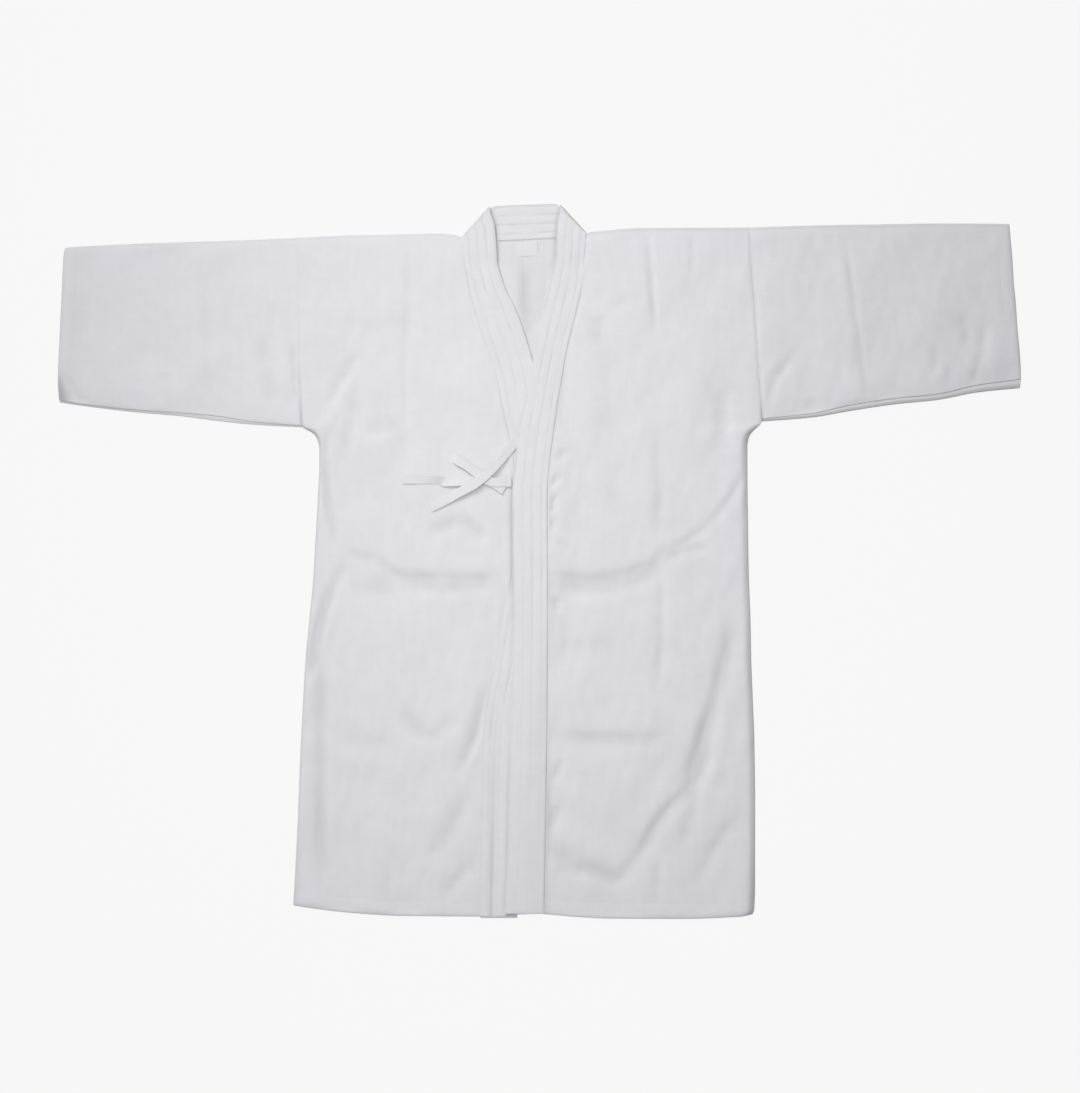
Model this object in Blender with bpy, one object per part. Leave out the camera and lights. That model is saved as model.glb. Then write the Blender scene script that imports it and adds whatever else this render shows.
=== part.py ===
"""Kendo jacket laid flat: two body halves, two sleeves, one collar band, two ties and a neck label.

The jacket lies face up on the plane z = 0, with its collar towards +Y and the wearer's left at +X.
Sizes in the tables are millimetres. The wearer's left front crosses over the right one.
"""
from bisect import bisect_right
from math import cos, exp, hypot, pi, radians, sin

import bmesh
import bpy
from mathutils import Vector

MM = 0.001
SHADE_ANGLE = radians(50)

# Driving sizes of the cloth, in millimetres
CLOTH = 1.8            # body and sleeve cloth
BAND = 3.4             # collar band, folded four deep
TAPE = 1.2             # ties
SEAM = 0.3             # clear space at every seam and between layers
LAYER = 0.4            # clear space inside a flattened fold
TIE_WIDTH = 12.0
LABEL_SIZE = (26.0, 20.0)
LABEL_THICK = 1.0

# Levels of the middle of each wall above the surface the jacket lies on
BACK_Z = CLOTH / 2
FRONT_Z = CLOTH + LAYER + CLOTH / 2
FOLD_RADIUS = (FRONT_Z - BACK_Z) / 2
FOLD_INSET = FOLD_RADIUS + CLOTH / 2
MID_Z = (BACK_Z + FRONT_Z) / 2
BAND_ON_BACK = CLOTH + LAYER + BAND / 2
BAND_STEP = BAND + SEAM
BAND_ON_BAND = BAND_STEP + BAND / 2
BAND_INSET = BAND_STEP / 2 + BAND / 2

# Loft of the front cloth over the back cloth, and how far from each edge it falls
LOFT = 2.6
LOFT_SIDE = {"right": 2.4, "left": 4.6}
LOFT_SIDE_REACH = 60.0
SIDE_ROLL = {"right": 8.0, "left": 13.0}
SEAM_ROLL = 9.0
HEM_ROLL = 16.0
SHOULDER_ROLL = 14.0
CUFF_ROLL = 16.0
LIP_ROLL = 6.0
FOLD_FADE = 12.0       # folds die out this near to an edge
SHOULDER_FADE = 20.0
OVERLAP_RAMP = 16.0    # run over which the upper front steps up onto the lower band
OVERLAP_MARGIN = 3.0
OVERLAP_TOP_Y = 330.0  # above it the two fronts part
COLLAR_RAMP = (384.0, 404.0)

CENTRE_X = -19.0       # centre back seam
SHOULDER_Y = 424.0
HEM_Y = -460.0
BACK_SHORTER = 2.0     # the back hem stays this far inside the front hem
UNDERARM_Y = 174.0
HEM_BEND = (-300.0, -460.0)      # level rows bend to the hem's line between these
SHOULDER_BEND = (300.0, 410.0)
BEND_STEPS = 4
BAND_SHARES = (0.0, 0.25, 0.5, 0.75, 1.0)

# Outer edge of each body half: side seam, underarm curve and armhole. Columns: y, x
SIDE_EDGE = {
    "right": ((-462, -322), (-445, -321), (-414, -319), (-336, -315), (-258, -312), (-180, -308),
              (-128, -305), (-76, -300), (-24, -295), (28, -292), (80, -289), (130, -287),
              (145, -287), (158, -289), (166, -294), (171, -302), (174, -309), (190, -310),
              (240, -312), (290, -313), (350, -314), (424, -314)),
    "left": ((-466, 270), (-461, 277), (-452, 280), (-420, 281), (-310, 281), (-232, 280),
             (-180, 278), (-128, 276), (-76, 275), (-24, 273), (28, 272), (130, 271),
             (150, 271), (162, 273), (171, 279), (178, 287), (182, 289), (210, 288),
             (250, 285), (290, 282), (340, 279), (379, 276), (436, 272)),
}

# Shoulder fold of each half. Columns: x, y
SHOULDER_FOLD = {
    "right": ((-314, 421), (-250, 424), (-181, 425.5), (-130, 426.5), (-112, 425), (-100, 421.5)),
    "left": ((61, 427), (66, 428.5), (90, 431), (131, 434), (272, 434.5)),
}

# Front hem of each half. Columns: x, y
HEM_LINE = {
    "right": ((-322, -447), (-298, -451), (-246, -457), (-181, -461), (-77, -462)),
    "left": ((10, -459), (42, -462), (89, -464.5), (183, -465), (261, -462), (277, -459)),
}

# Seam line of the collar band on each front, and the band's free edge.
# Columns: y, x of seam, x of free edge
BAND_EDGES = {
    "right": ((-465, -77, -29), (-375, -75, -27), (-245, -72.5, -25), (-181, -69.5, -22),
              (-150, -60, -13), (-63, -46, 2), (-24, -38, 10), (28, -32.5, 14.5), (80, -31, 16),
              (145, -35, 13), (171, -41, 8), (199, -47.5, 1), (242, -56, -5), (290, -72, -17),
              (338, -87, -35), (355, -91, -44), (372, -94, -49), (389, -97, -54), (412, -99, -56)),
    "left": ((-457.5, 6, -45), (-375, 7.5, -41), (-243, 9.5, -38.5), (-150, 10.5, -36), (-50, 11, -34.5),
             (54, 10.5, -35.5), (86, 10.5, -35.5), (125, 13, -32.5), (171, 19, -27), (190, 21.5, -23),
             (225, 27, -16), (281, 37, -5), (316, 46, 2), (333, 50, 7), (364, 56, 15),
             (392, 58, 20.5), (412, 59.5, 22)),
}

# Seam of the collar band's back stretch on the back of the neck. Columns: x, y
NECK_LINE = ((-100, 417.2), (-78, 417), (-52, 417.5), (-19, 419), (20, 421), (44, 421.8), (61, 422.4))
# Back stretch of the collar band between its two folded corners. Columns: x on seam, x on free edge, y there
BAND_BACK = ((-78, -58, 462), (-52, -44, 463), (CENTRE_X, -18, 464), (20, 12, 465), (44, 22, 465))
# Corner rows between a front stretch and its fold. Columns: x and y on seam edge, x and y on free edge
BAND_CORNER = {
    "right": ((-98.8, 414.6, -58, 436), (-98.9, 421.4, -66, 461.5)),
    "left": ((59.3, 422, 23, 440), (59.4, 426, 28, 464)),
}
# How far each end of the band runs past the hem
BAND_END = {"right": -2.0, "left": 1.5}

# Sleeves from armhole to cuff.
# Columns: share of the length, y of top fold, y of front layer's low edge, y of tube's low edge
SLEEVE_ROWS = {
    "right": ((0.0, 421, 175, 174), (0.20, 418.5, 180, 177.5), (0.34, 417, 187, 182),
              (0.50, 415.5, 191.5, 188.5), (0.70, 413.5, 196, 194), (0.93, 410, 204, 203),
              (1.0, 408.5, 207.5, 206.5)),
    "left": ((0.0, 434.5, 184, 181.5), (0.20, 437, 191, 187), (0.34, 438, 202, 196),
             (0.52, 439, 212.5, 206), (0.68, 440, 220, 212.5), (0.84, 440, 232, 222.5),
             (1.0, 439.5, 237.5, 225)),
}
CUFF_EDGE = {
    "right": ((205, -624), (215, -625.5), (236, -626.5), (288, -624.5), (340, -622), (392, -619.5),
              (402, -618.5), (410, -616)),
    "left": ((224, 625), (238, 626.5), (275, 624.5), (301, 622), (337, 619.5), (363, 617),
             (389, 615.5), (418, 613), (440, 611)),
}
SLEEVE_STATIONS = 15
SLEEVE_EDGE = 0.03     # first and last stations, near the armhole and the cuff
LIP_COLUMN = 5.0

# Largest folds of the front cloth. Columns: rise (below 0, a trough), half width, points along it
BODY_FOLDS = (
    (-2.2, 9, ((-243, 6), (-215, 2), (-186, -17), (-120, -22), (-48, -22))),
    (-2.6, 10, ((18, -17), (90, -19), (150, -12), (165, 8), (210, 38), (240, 75), (258, 130))),
    (-1.3, 9, ((-168, -209), (-140, -233), (-110, -206))),
    (-2.0, 9, ((16, -228), (90, -231), (180, -229))),
    (-3.6, 11, ((247, -80), (235, -150), (214, -225), (200, -262), (170, -312), (138, -366), (112, -412))),
    (2.4, 16, ((262, -150), (250, -215), (238, -285))),
    (2.0, 13, ((190, -230), (165, -285), (120, -340), (95, -380))),
    (-1.6, 8, ((18, -376), (60, -397), (105, -414))),
    (-1.8, 8, ((205, -300), (190, -372))),
    (-1.6, 9, ((258, -326), (241, -356), (205, -398))),
    (-2.0, 8, ((-73, -180), (-81, -207), (-88, -240), (-103, -274))),
    (-1.6, 8, ((-106, -318), (-118, -356), (-150, -388))),
    (-1.6, 8, ((-85, -386), (-100, -415), (-123, -440))),
    (-2.2, 8, ((-262, 55), (-275, 10), (-268, -20), (-282, -76), (-281, -180), (-280, -300), (-276, -420))),
    (-1.4, 8, ((-258, 230), (-250, 190), (-254, 130))),
    (1.3, 9, ((-280, 175), (-255, 205), (-238, 240))),
    (-1.2, 7, ((148, 428), (150, 330), (154, 200), (156, 60))),
    (-1.4, 9, ((228, 240), (236, 180), (230, 130))),
    (-1.4, 12, ((84, 308), (110, 340))),
)
SLEEVE_FOLDS = (
    (-1.6, 9, ((318, 268), (300, 235), (291, 200))),
    (-1.5, 8, ((403, 430), (414, 340), (422, 290), (424, 215))),
    (1.1, 10, ((392, 425), (400, 340), (409, 285), (411, 220))),
    (-1.3, 8, ((551, 320), (558, 280))),
    (-1.3, 8, ((581, 315), (566, 248))),
    (1.2, 12, ((-335, 300), (-322, 240), (-316, 200))),
    (-1.0, 10, ((-429, 410), (-432, 300), (-432, 190))),
)

# Bow: routes of the two ties over the fronts. Columns: x, y, layer above the front cloth
TIE_ROUTES = {
    "tie_left": ((-35.5, 160, 0.0), (-42, 148, 0.9), (-52, 132, 2.1), (-61, 117, 3.2), (-70, 106, 3.5),
                 (-81, 98, 3.5), (-93, 91, 2.7), (-107, 84, 1.4), (-124, 76, 0.2), (-142, 68, 0.0)),
    "tie_right": ((-178, 107, 0.0), (-160, 106.5, 0.0), (-142, 106, 0.0), (-120, 103, 0.0), (-95, 104, 0.0),
                  (-70, 104, 0.0), (-60, 97, 0.0), (-50, 90, 0.0), (-46.6, 87.7, 0.5), (-50, 90, 1.0),
                  (-70, 104, 1.0), (-90, 115, 1.0), (-108, 126, 1.0), (-111.4, 128.1, 1.5), (-108, 126, 2.0),
                  (-90, 115, 2.0), (-74, 106, 2.1), (-62, 103, 2.1), (-48, 103, 2.1), (-42, 103, 1.2),
                  (-36.5, 103, 0.4)),
}
TIE_GAP = 0.5          # clear space between a tie and the cloth under it
LABEL_CENTRE = (-15.0, 407.0)

# Spacing of the mesh
ROW_STEP = 25.0
BACK_ROW_STEP = 62.0
COLUMN_COUNT = 9
EDGE_COLUMNS = (4.0, 12.0)
SEAM_COLUMN = 8.0
EDGE_ROWS = (9.0, 7.0)
ROWS_KEPT = (-240, -229, -218, -32, -22, -12, 138, 150, 158, 166, 171, 176, 184)
BACK_ROWS_KEPT = (138, 158, 166, 171, 176, 184)
SLEEVE_BACK_SHARES = (0.25, 0.5, 0.75)
INNER_SHARES = (0.1, 0.9)
TILT_STEP = 0.5
STEEP = 0.5
LEVEL_FRONT = (0.0, 0.0, 1.0)
LEVEL_BACK = (0.0, 0.0, -1.0)

COLOURS = {
    "body": (0.80, 0.79, 0.81, 1.0),
    "band": (0.78, 0.77, 0.79, 1.0),
    "tape": (0.79, 0.78, 0.80, 1.0),
    "label": (0.84, 0.84, 0.85, 1.0),
}
COTTON_ROUGHNESS = 0.9


def clear_scene():
    for item in list(bpy.data.objects):
        bpy.data.objects.remove(item, do_unlink=True)


def read(rows, at, column=1):
    """Value of one column of a table at a place in its first column, on a smooth curve."""
    keys = [row[0] for row in rows]
    if at <= keys[0]:
        return rows[0][column]
    if at >= keys[-1]:
        return rows[-1][column]
    i = bisect_right(keys, at) - 1
    span = keys[i + 1] - keys[i]
    t = (at - keys[i]) / span
    start, end = rows[i][column], rows[i + 1][column]
    first = table_slope(rows, i, column) * span
    last = table_slope(rows, i + 1, column) * span
    return ((2 * t ** 3 - 3 * t ** 2 + 1) * start + (t ** 3 - 2 * t ** 2 + t) * first
            + (3 * t ** 2 - 2 * t ** 3) * end + (t ** 3 - t ** 2) * last)


def table_slope(rows, i, column):
    """Slope of a table at one of its rows, which never makes the curve overshoot."""
    def run(k):
        return (rows[k + 1][column] - rows[k][column]) / (rows[k + 1][0] - rows[k][0])
    if i == 0:
        return run(0)
    if i == len(rows) - 1:
        return run(i - 1)
    before, after = run(i - 1), run(i)
    if before * after <= 0:
        return 0.0
    return 2 * before * after / (before + after)


def mix(start, end, share):
    return start + (end - start) * share


def ease(share):
    """0 to 1, level at both ends."""
    share = max(0.0, min(1.0, share))
    return share * share * (3 - 2 * share)


def roll(distance, reach):
    """0 at an edge, rounding up to 1 at a reach from it."""
    share = max(0.0, min(1.0, distance / reach))
    return 1 - (1 - share) ** 2


def fold_height(folds, x, y):
    """Sum of the folds at one place; each fades at its two ends and to its sides."""
    total = 0.0
    for rise, width, points in folds:
        nearest, share = path_distance(points, x, y)
        if nearest < 3 * width:
            total += rise * ease(4 * share) * ease(4 - 4 * share) * exp(-(nearest / width) ** 2)
    return total


def path_distance(points, x, y):
    """Distance to a path of straight runs, and the share of its length where it is nearest."""
    lengths = [hypot(b[0] - a[0], b[1] - a[1]) for a, b in zip(points, points[1:])]
    best, best_share, walked = 1e9, 0.0, 0.0
    for (ax, ay), (bx, by), length in zip(points, points[1:], lengths):
        t = ((x - ax) * (bx - ax) + (y - ay) * (by - ay)) / length ** 2
        t = max(0.0, min(1.0, t))
        away = hypot(x - mix(ax, bx, t), y - mix(ay, by, t))
        if away < best:
            best = away
            best_share = (walked + t * length) / sum(lengths)
        walked += length
    return best, best_share


def over_right_band(x, y):
    """Rise of the upper front where it lies on the lower front's band."""
    if y > OVERLAP_TOP_Y:
        return 0.0
    edge = read(BAND_EDGES["right"], y, 2) + OVERLAP_MARGIN
    return BAND_STEP * ease((edge + OVERLAP_RAMP - x) / OVERLAP_RAMP)


def over_collar_back(y):
    """Rise of the band's front stretches where they lie on its back stretch."""
    low, high = COLLAR_RAMP
    return (BAND_ON_BAND - BAND_ON_BACK) * ease((y - low) / (high - low))


def body_height(side, x, y):
    """Middle of the front cloth of one half above the surface."""
    edge = abs(x - read(SIDE_EDGE[side], y))
    seam = abs(x - read(BAND_EDGES[side], y, 1))
    hem = y - read(HEM_LINE[side], x)
    shoulder = read(SHOULDER_FOLD[side], x) - y
    # The loft is higher along the side, where the cloth turns round
    loft = mix(LOFT, LOFT_SIDE[side], exp(-(edge / LOFT_SIDE_REACH) ** 2))
    loft *= roll(edge, SIDE_ROLL[side] if y < UNDERARM_Y else SEAM_ROLL) * roll(seam, SEAM_ROLL)
    loft *= roll(hem, HEM_ROLL) * roll(shoulder, SHOULDER_ROLL)
    fade = ease(min(edge, seam, hem) / FOLD_FADE) * ease(shoulder / SHOULDER_FADE)
    rise = max(0.0, loft + fold_height(BODY_FOLDS, x, y) * fade)
    lift = over_right_band(x, y) if side == "left" else 0.0
    return FRONT_Z + lift + rise


def tilt(height, x, y):
    """Outward direction of a sheet whose height over (x, y) is given by a function."""
    east = (height(x + TILT_STEP, y) - height(x - TILT_STEP, y)) / (2 * TILT_STEP)
    north = (height(x, y + TILT_STEP) - height(x, y - TILT_STEP)) / (2 * TILT_STEP)
    return Vector((-east, -north, 1)).normalized()


def halves(grid, corners):
    """The two triangles of a cell, cut along the diagonal that is more nearly level."""
    a, b, c, d = corners
    levels = [grid[i][j % len(grid[0])][0].z for i, j in corners]
    if abs(levels[0] - levels[2]) <= abs(levels[1] - levels[3]):
        return (a, b, c), (a, c, d)
    return (a, b, d), (b, c, d)


def wall(name, grid, thickness, material, kept=None, ring=False):
    """One closed wall from rows of (middle point, outward direction). kept(i, j) says which cells exist."""
    rows, columns = len(grid), len(grid[0])
    across = columns if ring else columns - 1
    mesh_data = bmesh.new()
    skins = ({}, {})

    def vertex(skin, i, j):
        key = (i, j % columns)
        if key not in skins[skin]:
            middle, outward = grid[key[0]][key[1]]
            away = Vector(outward) * (thickness / 2 if skin == 0 else -thickness / 2)
            skins[skin][key] = mesh_data.verts.new((Vector(middle) + away) * MM)
        return skins[skin][key]

    rims = set()
    for i in range(rows - 1):
        for j in range(across):
            if kept and not kept(i, j):
                continue
            corners = ((i, j), (i, j + 1), (i + 1, j + 1), (i + 1, j))
            for triangle in halves(grid, corners):
                mesh_data.faces.new([vertex(0, *c) for c in triangle])
                mesh_data.faces.new([vertex(1, *c) for c in reversed(triangle)])
            for a, b in zip(corners, corners[1:] + corners[:1]):
                start, end = (a[0], a[1] % columns), (b[0], b[1] % columns)
                if (end, start) in rims:
                    rims.remove((end, start))
                else:
                    rims.add((start, end))
    for start, end in sorted(rims):
        mesh_data.faces.new((vertex(0, *end), vertex(0, *start), vertex(1, *start), vertex(1, *end)))
    bmesh.ops.recalc_face_normals(mesh_data, faces=mesh_data.faces)
    mesh = bpy.data.meshes.new(name)
    mesh_data.to_mesh(mesh)
    mesh_data.free()
    mesh.shade_smooth()
    mesh.set_sharp_from_angle(angle=SHADE_ANGLE)
    mesh.materials.append(material)
    item = bpy.data.objects.new(name, mesh)
    bpy.context.scene.collection.objects.link(item)
    return item


def cloth_material(name, colour):
    """Plain matt cotton of one colour."""
    material = bpy.data.materials.new(name)
    material.use_nodes = True
    shader = material.node_tree.nodes["Principled BSDF"]
    shader.inputs["Base Color"].default_value = colour
    shader.inputs["Roughness"].default_value = COTTON_ROUGHNESS
    shader.inputs["Metallic"].default_value = 0.0
    material.diffuse_color = colour
    return material


def stations(start, end, step, kept):
    """Even places from start to end, with the kept ones put in and their close neighbours left out."""
    count = max(1, round(abs(end - start) / step))
    even = [mix(start, end, k / count) for k in range(count + 1)]
    inside = [k for k in kept if min(start, end) < k < max(start, end)]
    loose = [e for e in even[1:-1] if all(abs(e - k) > step / 2 for k in inside)]
    return sorted([even[0], even[-1]] + loose + inside, reverse=end < start)


def hem_follow(side, x, y):
    """Place of a level row at x, bent to the hem and to the shoulder fold."""
    to_hem = ease((y - HEM_BEND[0]) / (HEM_BEND[1] - HEM_BEND[0]))
    to_fold = ease((y - SHOULDER_BEND[0]) / (SHOULDER_BEND[1] - SHOULDER_BEND[0]))
    top = read(SHOULDER_FOLD[side], x)
    return y + to_hem * (read(HEM_LINE[side], x) - HEM_Y) + to_fold * (top - SHOULDER_Y)


def front_rows():
    """Level rows of the fronts from the shoulder fold to the hem, before they are bent to both."""
    near_edges = (SHOULDER_Y - EDGE_ROWS[0], HEM_Y + EDGE_ROWS[1])
    return stations(SHOULDER_Y - FOLD_INSET, HEM_Y, ROW_STEP, ROWS_KEPT + near_edges)


def side_point(side, y):
    """Where a row meets the outer edge of its half."""
    place = hem_follow(side, read(SIDE_EDGE[side], y), y)
    return read(SIDE_EDGE[side], place), place


def seam_point(side, y):
    """Where a row meets the collar band's seam on the front."""
    x = read(BAND_EDGES[side], y, 1)
    return x, hem_follow(side, x, y)


def body_columns(side, y):
    """x of each column of a front from its side edge to the band's seam, closer at both edges."""
    away = 1 if side == "right" else -1
    outer = side_point(side, y)[0]
    seam = seam_point(side, y)[0] - away * SEAM
    near = [outer + away * step for step in (0.0,) + EDGE_COLUMNS]
    far = [seam - away * SEAM_COLUMN, seam]
    middle = [mix(near[-1], far[0], k / (COLUMN_COUNT + 1)) for k in range(1, COLUMN_COUNT + 1)]
    return near + middle + far


def body_half(side, material):
    """Front and back of one half in one length, folded over the shoulder.

    The back runs on to the centre back seam, and the front stops at the collar band.
    """
    away = 1 if side == "right" else -1
    top_columns = body_columns(side, SHOULDER_Y)
    centre = CENTRE_X - away * SEAM / 2
    neck = len(top_columns) - 1
    on_back = [row[0] for row in BAND_BACK if (CENTRE_X - row[0]) * away > 0]
    reach = [top_columns[-1] + away * SEAM * 2] + on_back[::away] + [centre]
    shares = [(x - top_columns[0]) / (centre - top_columns[0]) for x in top_columns + reach]
    grid = []

    # Back, from hem to shoulder
    for y in stations(HEM_Y + BACK_SHORTER, SHOULDER_Y - FOLD_INSET, BACK_ROW_STEP, BACK_ROWS_KEPT):
        at_fold = y == SHOULDER_Y - FOLD_INSET
        row = []
        for column, share in enumerate(shares):
            x = mix(side_point(side, y)[0], centre, share)
            place = hem_follow(side, x, y)
            if at_fold and column > neck:
                place = read(NECK_LINE, x) - SEAM
            elif y > SHOULDER_BEND[0] and column > neck:
                to_neck = (y - SHOULDER_BEND[0]) / (SHOULDER_Y - FOLD_INSET - SHOULDER_BEND[0])
                place = mix(y, read(NECK_LINE, x) - SEAM, to_neck)
            row.append((Vector((x, place, BACK_Z)), LEVEL_BACK))
        grid.append(row)
    back_rows = len(grid)

    # Fold over the shoulder
    last = grid[-1]
    for step in range(1, BEND_STEPS + 1):
        angle = mix(-pi / 2, pi / 2, step / BEND_STEPS)
        arm = Vector((0, cos(angle), sin(angle)))
        grid.append([(Vector((m.x, m.y, MID_Z)) + arm * FOLD_RADIUS, arm) for m, _ in last])

    # Front, from shoulder to hem
    def height(x, y):
        return body_height(side, x, y)

    for y in front_rows()[1:]:
        row = []
        for column, x in enumerate(body_columns(side, y)):
            place = hem_follow(side, x, y)
            outward = tilt(height, x, place)
            armhole = column == 0 and y > UNDERARM_Y
            if armhole or column == neck:
                outward = Vector(LEVEL_FRONT)
            row.append((Vector((x, place, height(x, place))), outward))
        row += row[-1:] * len(reach)
        grid.append(row)

    def kept(i, j):
        return i < back_rows - 1 or j < neck
    return wall("body_" + side, grid, CLOTH, material, kept=kept)


def sleeve(side, material):
    """Flattened tube from the armhole to the cuff, folded along the top, seamed along the low edge."""
    away = -1 if side == "right" else 1
    rows = SLEEVE_ROWS[side]
    places = [side_point(side, y)[1] for y in front_rows()]
    places = [y for y in places if y > rows[0][2] + LIP_COLUMN]
    parts = [(places[0] - y) / (places[0] - places[-1]) for y in places]
    lowest = places[-1] - rows[0][2]

    def height(x, y, top, lip):
        loft = LOFT * roll(top - y, SHOULDER_ROLL) * roll(y - lip, LIP_ROLL)
        loft *= roll(abs(x - cuff_x(y)), CUFF_ROLL) * roll(abs(x - seam_x(y)), SEAM_ROLL)
        fade = ease(min(y - lip, abs(x - cuff_x(y))) / FOLD_FADE) * ease((top - y) / SHOULDER_FADE)
        return FRONT_Z + max(0.0, loft + fold_height(SLEEVE_FOLDS, x, y) * fade)

    def cuff_x(y):
        return read(CUFF_EDGE[side], y)

    def seam_x(y):
        return read(SIDE_EDGE[side], y) + away * SEAM

    grid = []
    for k in range(SLEEVE_STATIONS + 1):
        share = k / SLEEVE_STATIONS
        if k == 1:
            share = SLEEVE_EDGE
        if k == SLEEVE_STATIONS - 1:
            share = 1 - SLEEVE_EDGE
        top = read(rows, share, 1)
        lip = read(rows, share, 2)
        low = read(rows, share, 3)
        flat = Vector(LEVEL_FRONT)
        ring = []

        def place(y, z, outward):
            ring.append((Vector((mix(seam_x(y), cuff_x(y), share), y, z)), outward))

        def surface(y):
            x = mix(seam_x(y), cuff_x(y), share)
            end = k in (0, SLEEVE_STATIONS)
            outward = flat if end else tilt(lambda a, b: height(a, b, top, lip), x, y)
            place(y, height(x, y, top, lip), outward)

        # Front layer from the top fold to the lip
        for part in parts:
            surface(mix(top - FOLD_INSET, lip + lowest, part))
        surface(lip + FOLD_INSET)
        place(mix(lip, low, 0.5) + FOLD_INSET, FRONT_Z, flat)
        # Low edge
        for step in range(0, BEND_STEPS + 1):
            angle = mix(pi / 2, -pi / 2, step / BEND_STEPS)
            arm = Vector((0, -cos(angle), sin(angle)))
            y = low + FOLD_INSET + arm.y * FOLD_RADIUS
            place(y, MID_Z + arm.z * FOLD_RADIUS, arm)
        # Back layer
        for part in SLEEVE_BACK_SHARES:
            place(mix(low + FOLD_INSET, top - FOLD_INSET, part), BACK_Z, Vector(LEVEL_BACK))
        # Top fold
        for step in range(0, BEND_STEPS):
            angle = mix(-pi / 2, pi / 2, step / BEND_STEPS)
            arm = Vector((0, cos(angle), sin(angle)))
            y = top - FOLD_INSET + arm.y * FOLD_RADIUS
            place(y, MID_Z + arm.z * FOLD_RADIUS, arm)
        grid.append(ring)
    return wall("sleeve_" + side, grid, CLOTH, material, ring=True)


def band_row(seam, free, level, outward, shares=BAND_SHARES):
    """One row across the band, from its seam edge to its free edge. level(x, y) gives its middle."""
    row = []
    for share in shares:
        x = mix(seam[0], free[0], share)
        y = mix(seam[1], free[1], share)
        row.append((Vector((x, y, level(x, y))), Vector(outward)))
    return row


def band_shares(side, seam_x, free_x, y):
    """Shares of the width where a row has points; the upper band has one where the lower band ends."""
    if side == "right":
        return BAND_SHARES
    step = (read(BAND_EDGES["right"], y, 2) + OVERLAP_MARGIN - seam_x) / (free_x - seam_x)
    if not INNER_SHARES[0] < step < INNER_SHARES[1]:
        return BAND_SHARES
    nearest = min(BAND_SHARES[1:-1], key=lambda share: abs(share - step))
    return sorted([share for share in BAND_SHARES if share != nearest] + [step])


def band_front(side):
    """Rows of one front stretch of the collar band, from its low end to its corner."""
    def level(x, y):
        return band_height(side, x, y)

    grid = []
    for y in front_rows()[:0:-1]:
        seam = seam_point(side, y)
        free_x = read(BAND_EDGES[side], y, 2)
        place = seam[1] + (BAND_END[side] if y == HEM_Y else 0.0)
        shares = band_shares(side, seam[0], free_x, place)
        grid.append(band_row((seam[0], place), (free_x, place), level, LEVEL_FRONT, shares))
    for seam_x, seam_y, free_x, free_y in BAND_CORNER[side]:
        grid.append(band_row((seam_x, seam_y), (free_x, free_y), level, LEVEL_FRONT))
    return grid


def band_height(side, x, y):
    """Middle of the band's front stretch above the surface."""
    lift = over_right_band(x, y) if side == "left" else 0.0
    return BAND_ON_BACK + over_collar_back(y) + lift


def band_corner_fold(row, turn):
    """Rows of a corner fold: the band turns from its front stretch down under itself."""
    run = row[-1][0] - row[0][0]
    out = Vector((-run.y, run.x, 0)).normalized() * turn
    middle_z = (BAND / 2 + BAND_ON_BAND) / 2
    fold = []
    for step in range(1, BEND_STEPS + 1):
        angle = mix(pi / 2, -pi / 2, step / BEND_STEPS)
        arm = out * cos(angle) + Vector((0, 0, sin(angle)))
        fold.append([(Vector((m.x, m.y, middle_z)) + arm * BAND_STEP / 2, arm) for m, _ in row])
    return fold


def collar_band(material):
    """One band: up the right front, round the back of the neck, where its inner face shows, down the left."""
    right = band_front("right")
    left = band_front("left")
    back = []
    for seam_x, free_x, free_y in BAND_BACK:
        seam = (seam_x, read(NECK_LINE, seam_x))
        back.append(band_row(seam, (free_x, free_y), lambda x, y: BAND / 2, LEVEL_BACK))
    right[-1] = shift_row(right[-1], 1)
    left[-1] = shift_row(left[-1], -1)
    first = band_corner_fold(right[-1], 1)
    second = band_corner_fold(left[-1], -1)
    grid = right + first + back + second[::-1] + left[::-1]
    return wall("collar_band", grid, BAND, material)


def shift_row(row, turn):
    """The last row of a stretch, moved in from the outline by the thickness of the fold."""
    run = row[-1][0] - row[0][0]
    back = Vector((run.y, -run.x, 0)).normalized() * turn * BAND_INSET
    return [(middle + back, outward) for middle, outward in row]


def tie(name, material):
    """Flat tape on its route over the front cloth; it doubles back at the ends of the bow's loops."""
    route = TIE_ROUTES[name]
    step = TAPE + SEAM
    base = FRONT_Z + LOFT + CLOTH / 2 + TIE_GAP + TAPE / 2
    points = [Vector((x, y, base + layer * step)) for x, y, layer in route]
    grid = []
    side = None
    for i, point in enumerate(points):
        before = points[max(i - 1, 0)]
        after = points[min(i + 1, len(points) - 1)]
        run = (after - before).normalized()
        flat = Vector((run.x, run.y, 0))
        # Where the tape turns back on itself, the direction across it stays as it was
        if flat.length > STEEP:
            across = Vector((-flat.y, flat.x, 0)).normalized()
            if side is not None and across.dot(side) < 0:
                across.negate()
            side = across
        outward = run.cross(side).normalized()
        grid.append([(point - side * TIE_WIDTH / 2, outward), (point + side * TIE_WIDTH / 2, outward)])
    return wall(name, grid, TAPE, material)


def neck_label(material):
    """Small blank woven label that hangs from the collar seam inside the back of the neck."""
    z = CLOTH + SEAM + LABEL_THICK / 2
    half_x, half_y = LABEL_SIZE[0] / 2, LABEL_SIZE[1] / 2
    x, y = LABEL_CENTRE
    grid = []
    for b in (1, 0, -1):
        grid.append([(Vector((x + a * half_x, y + b * half_y, z)), LEVEL_FRONT) for a in (-1, 0, 1)])
    return wall("neck_label", grid, LABEL_THICK, material)


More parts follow.
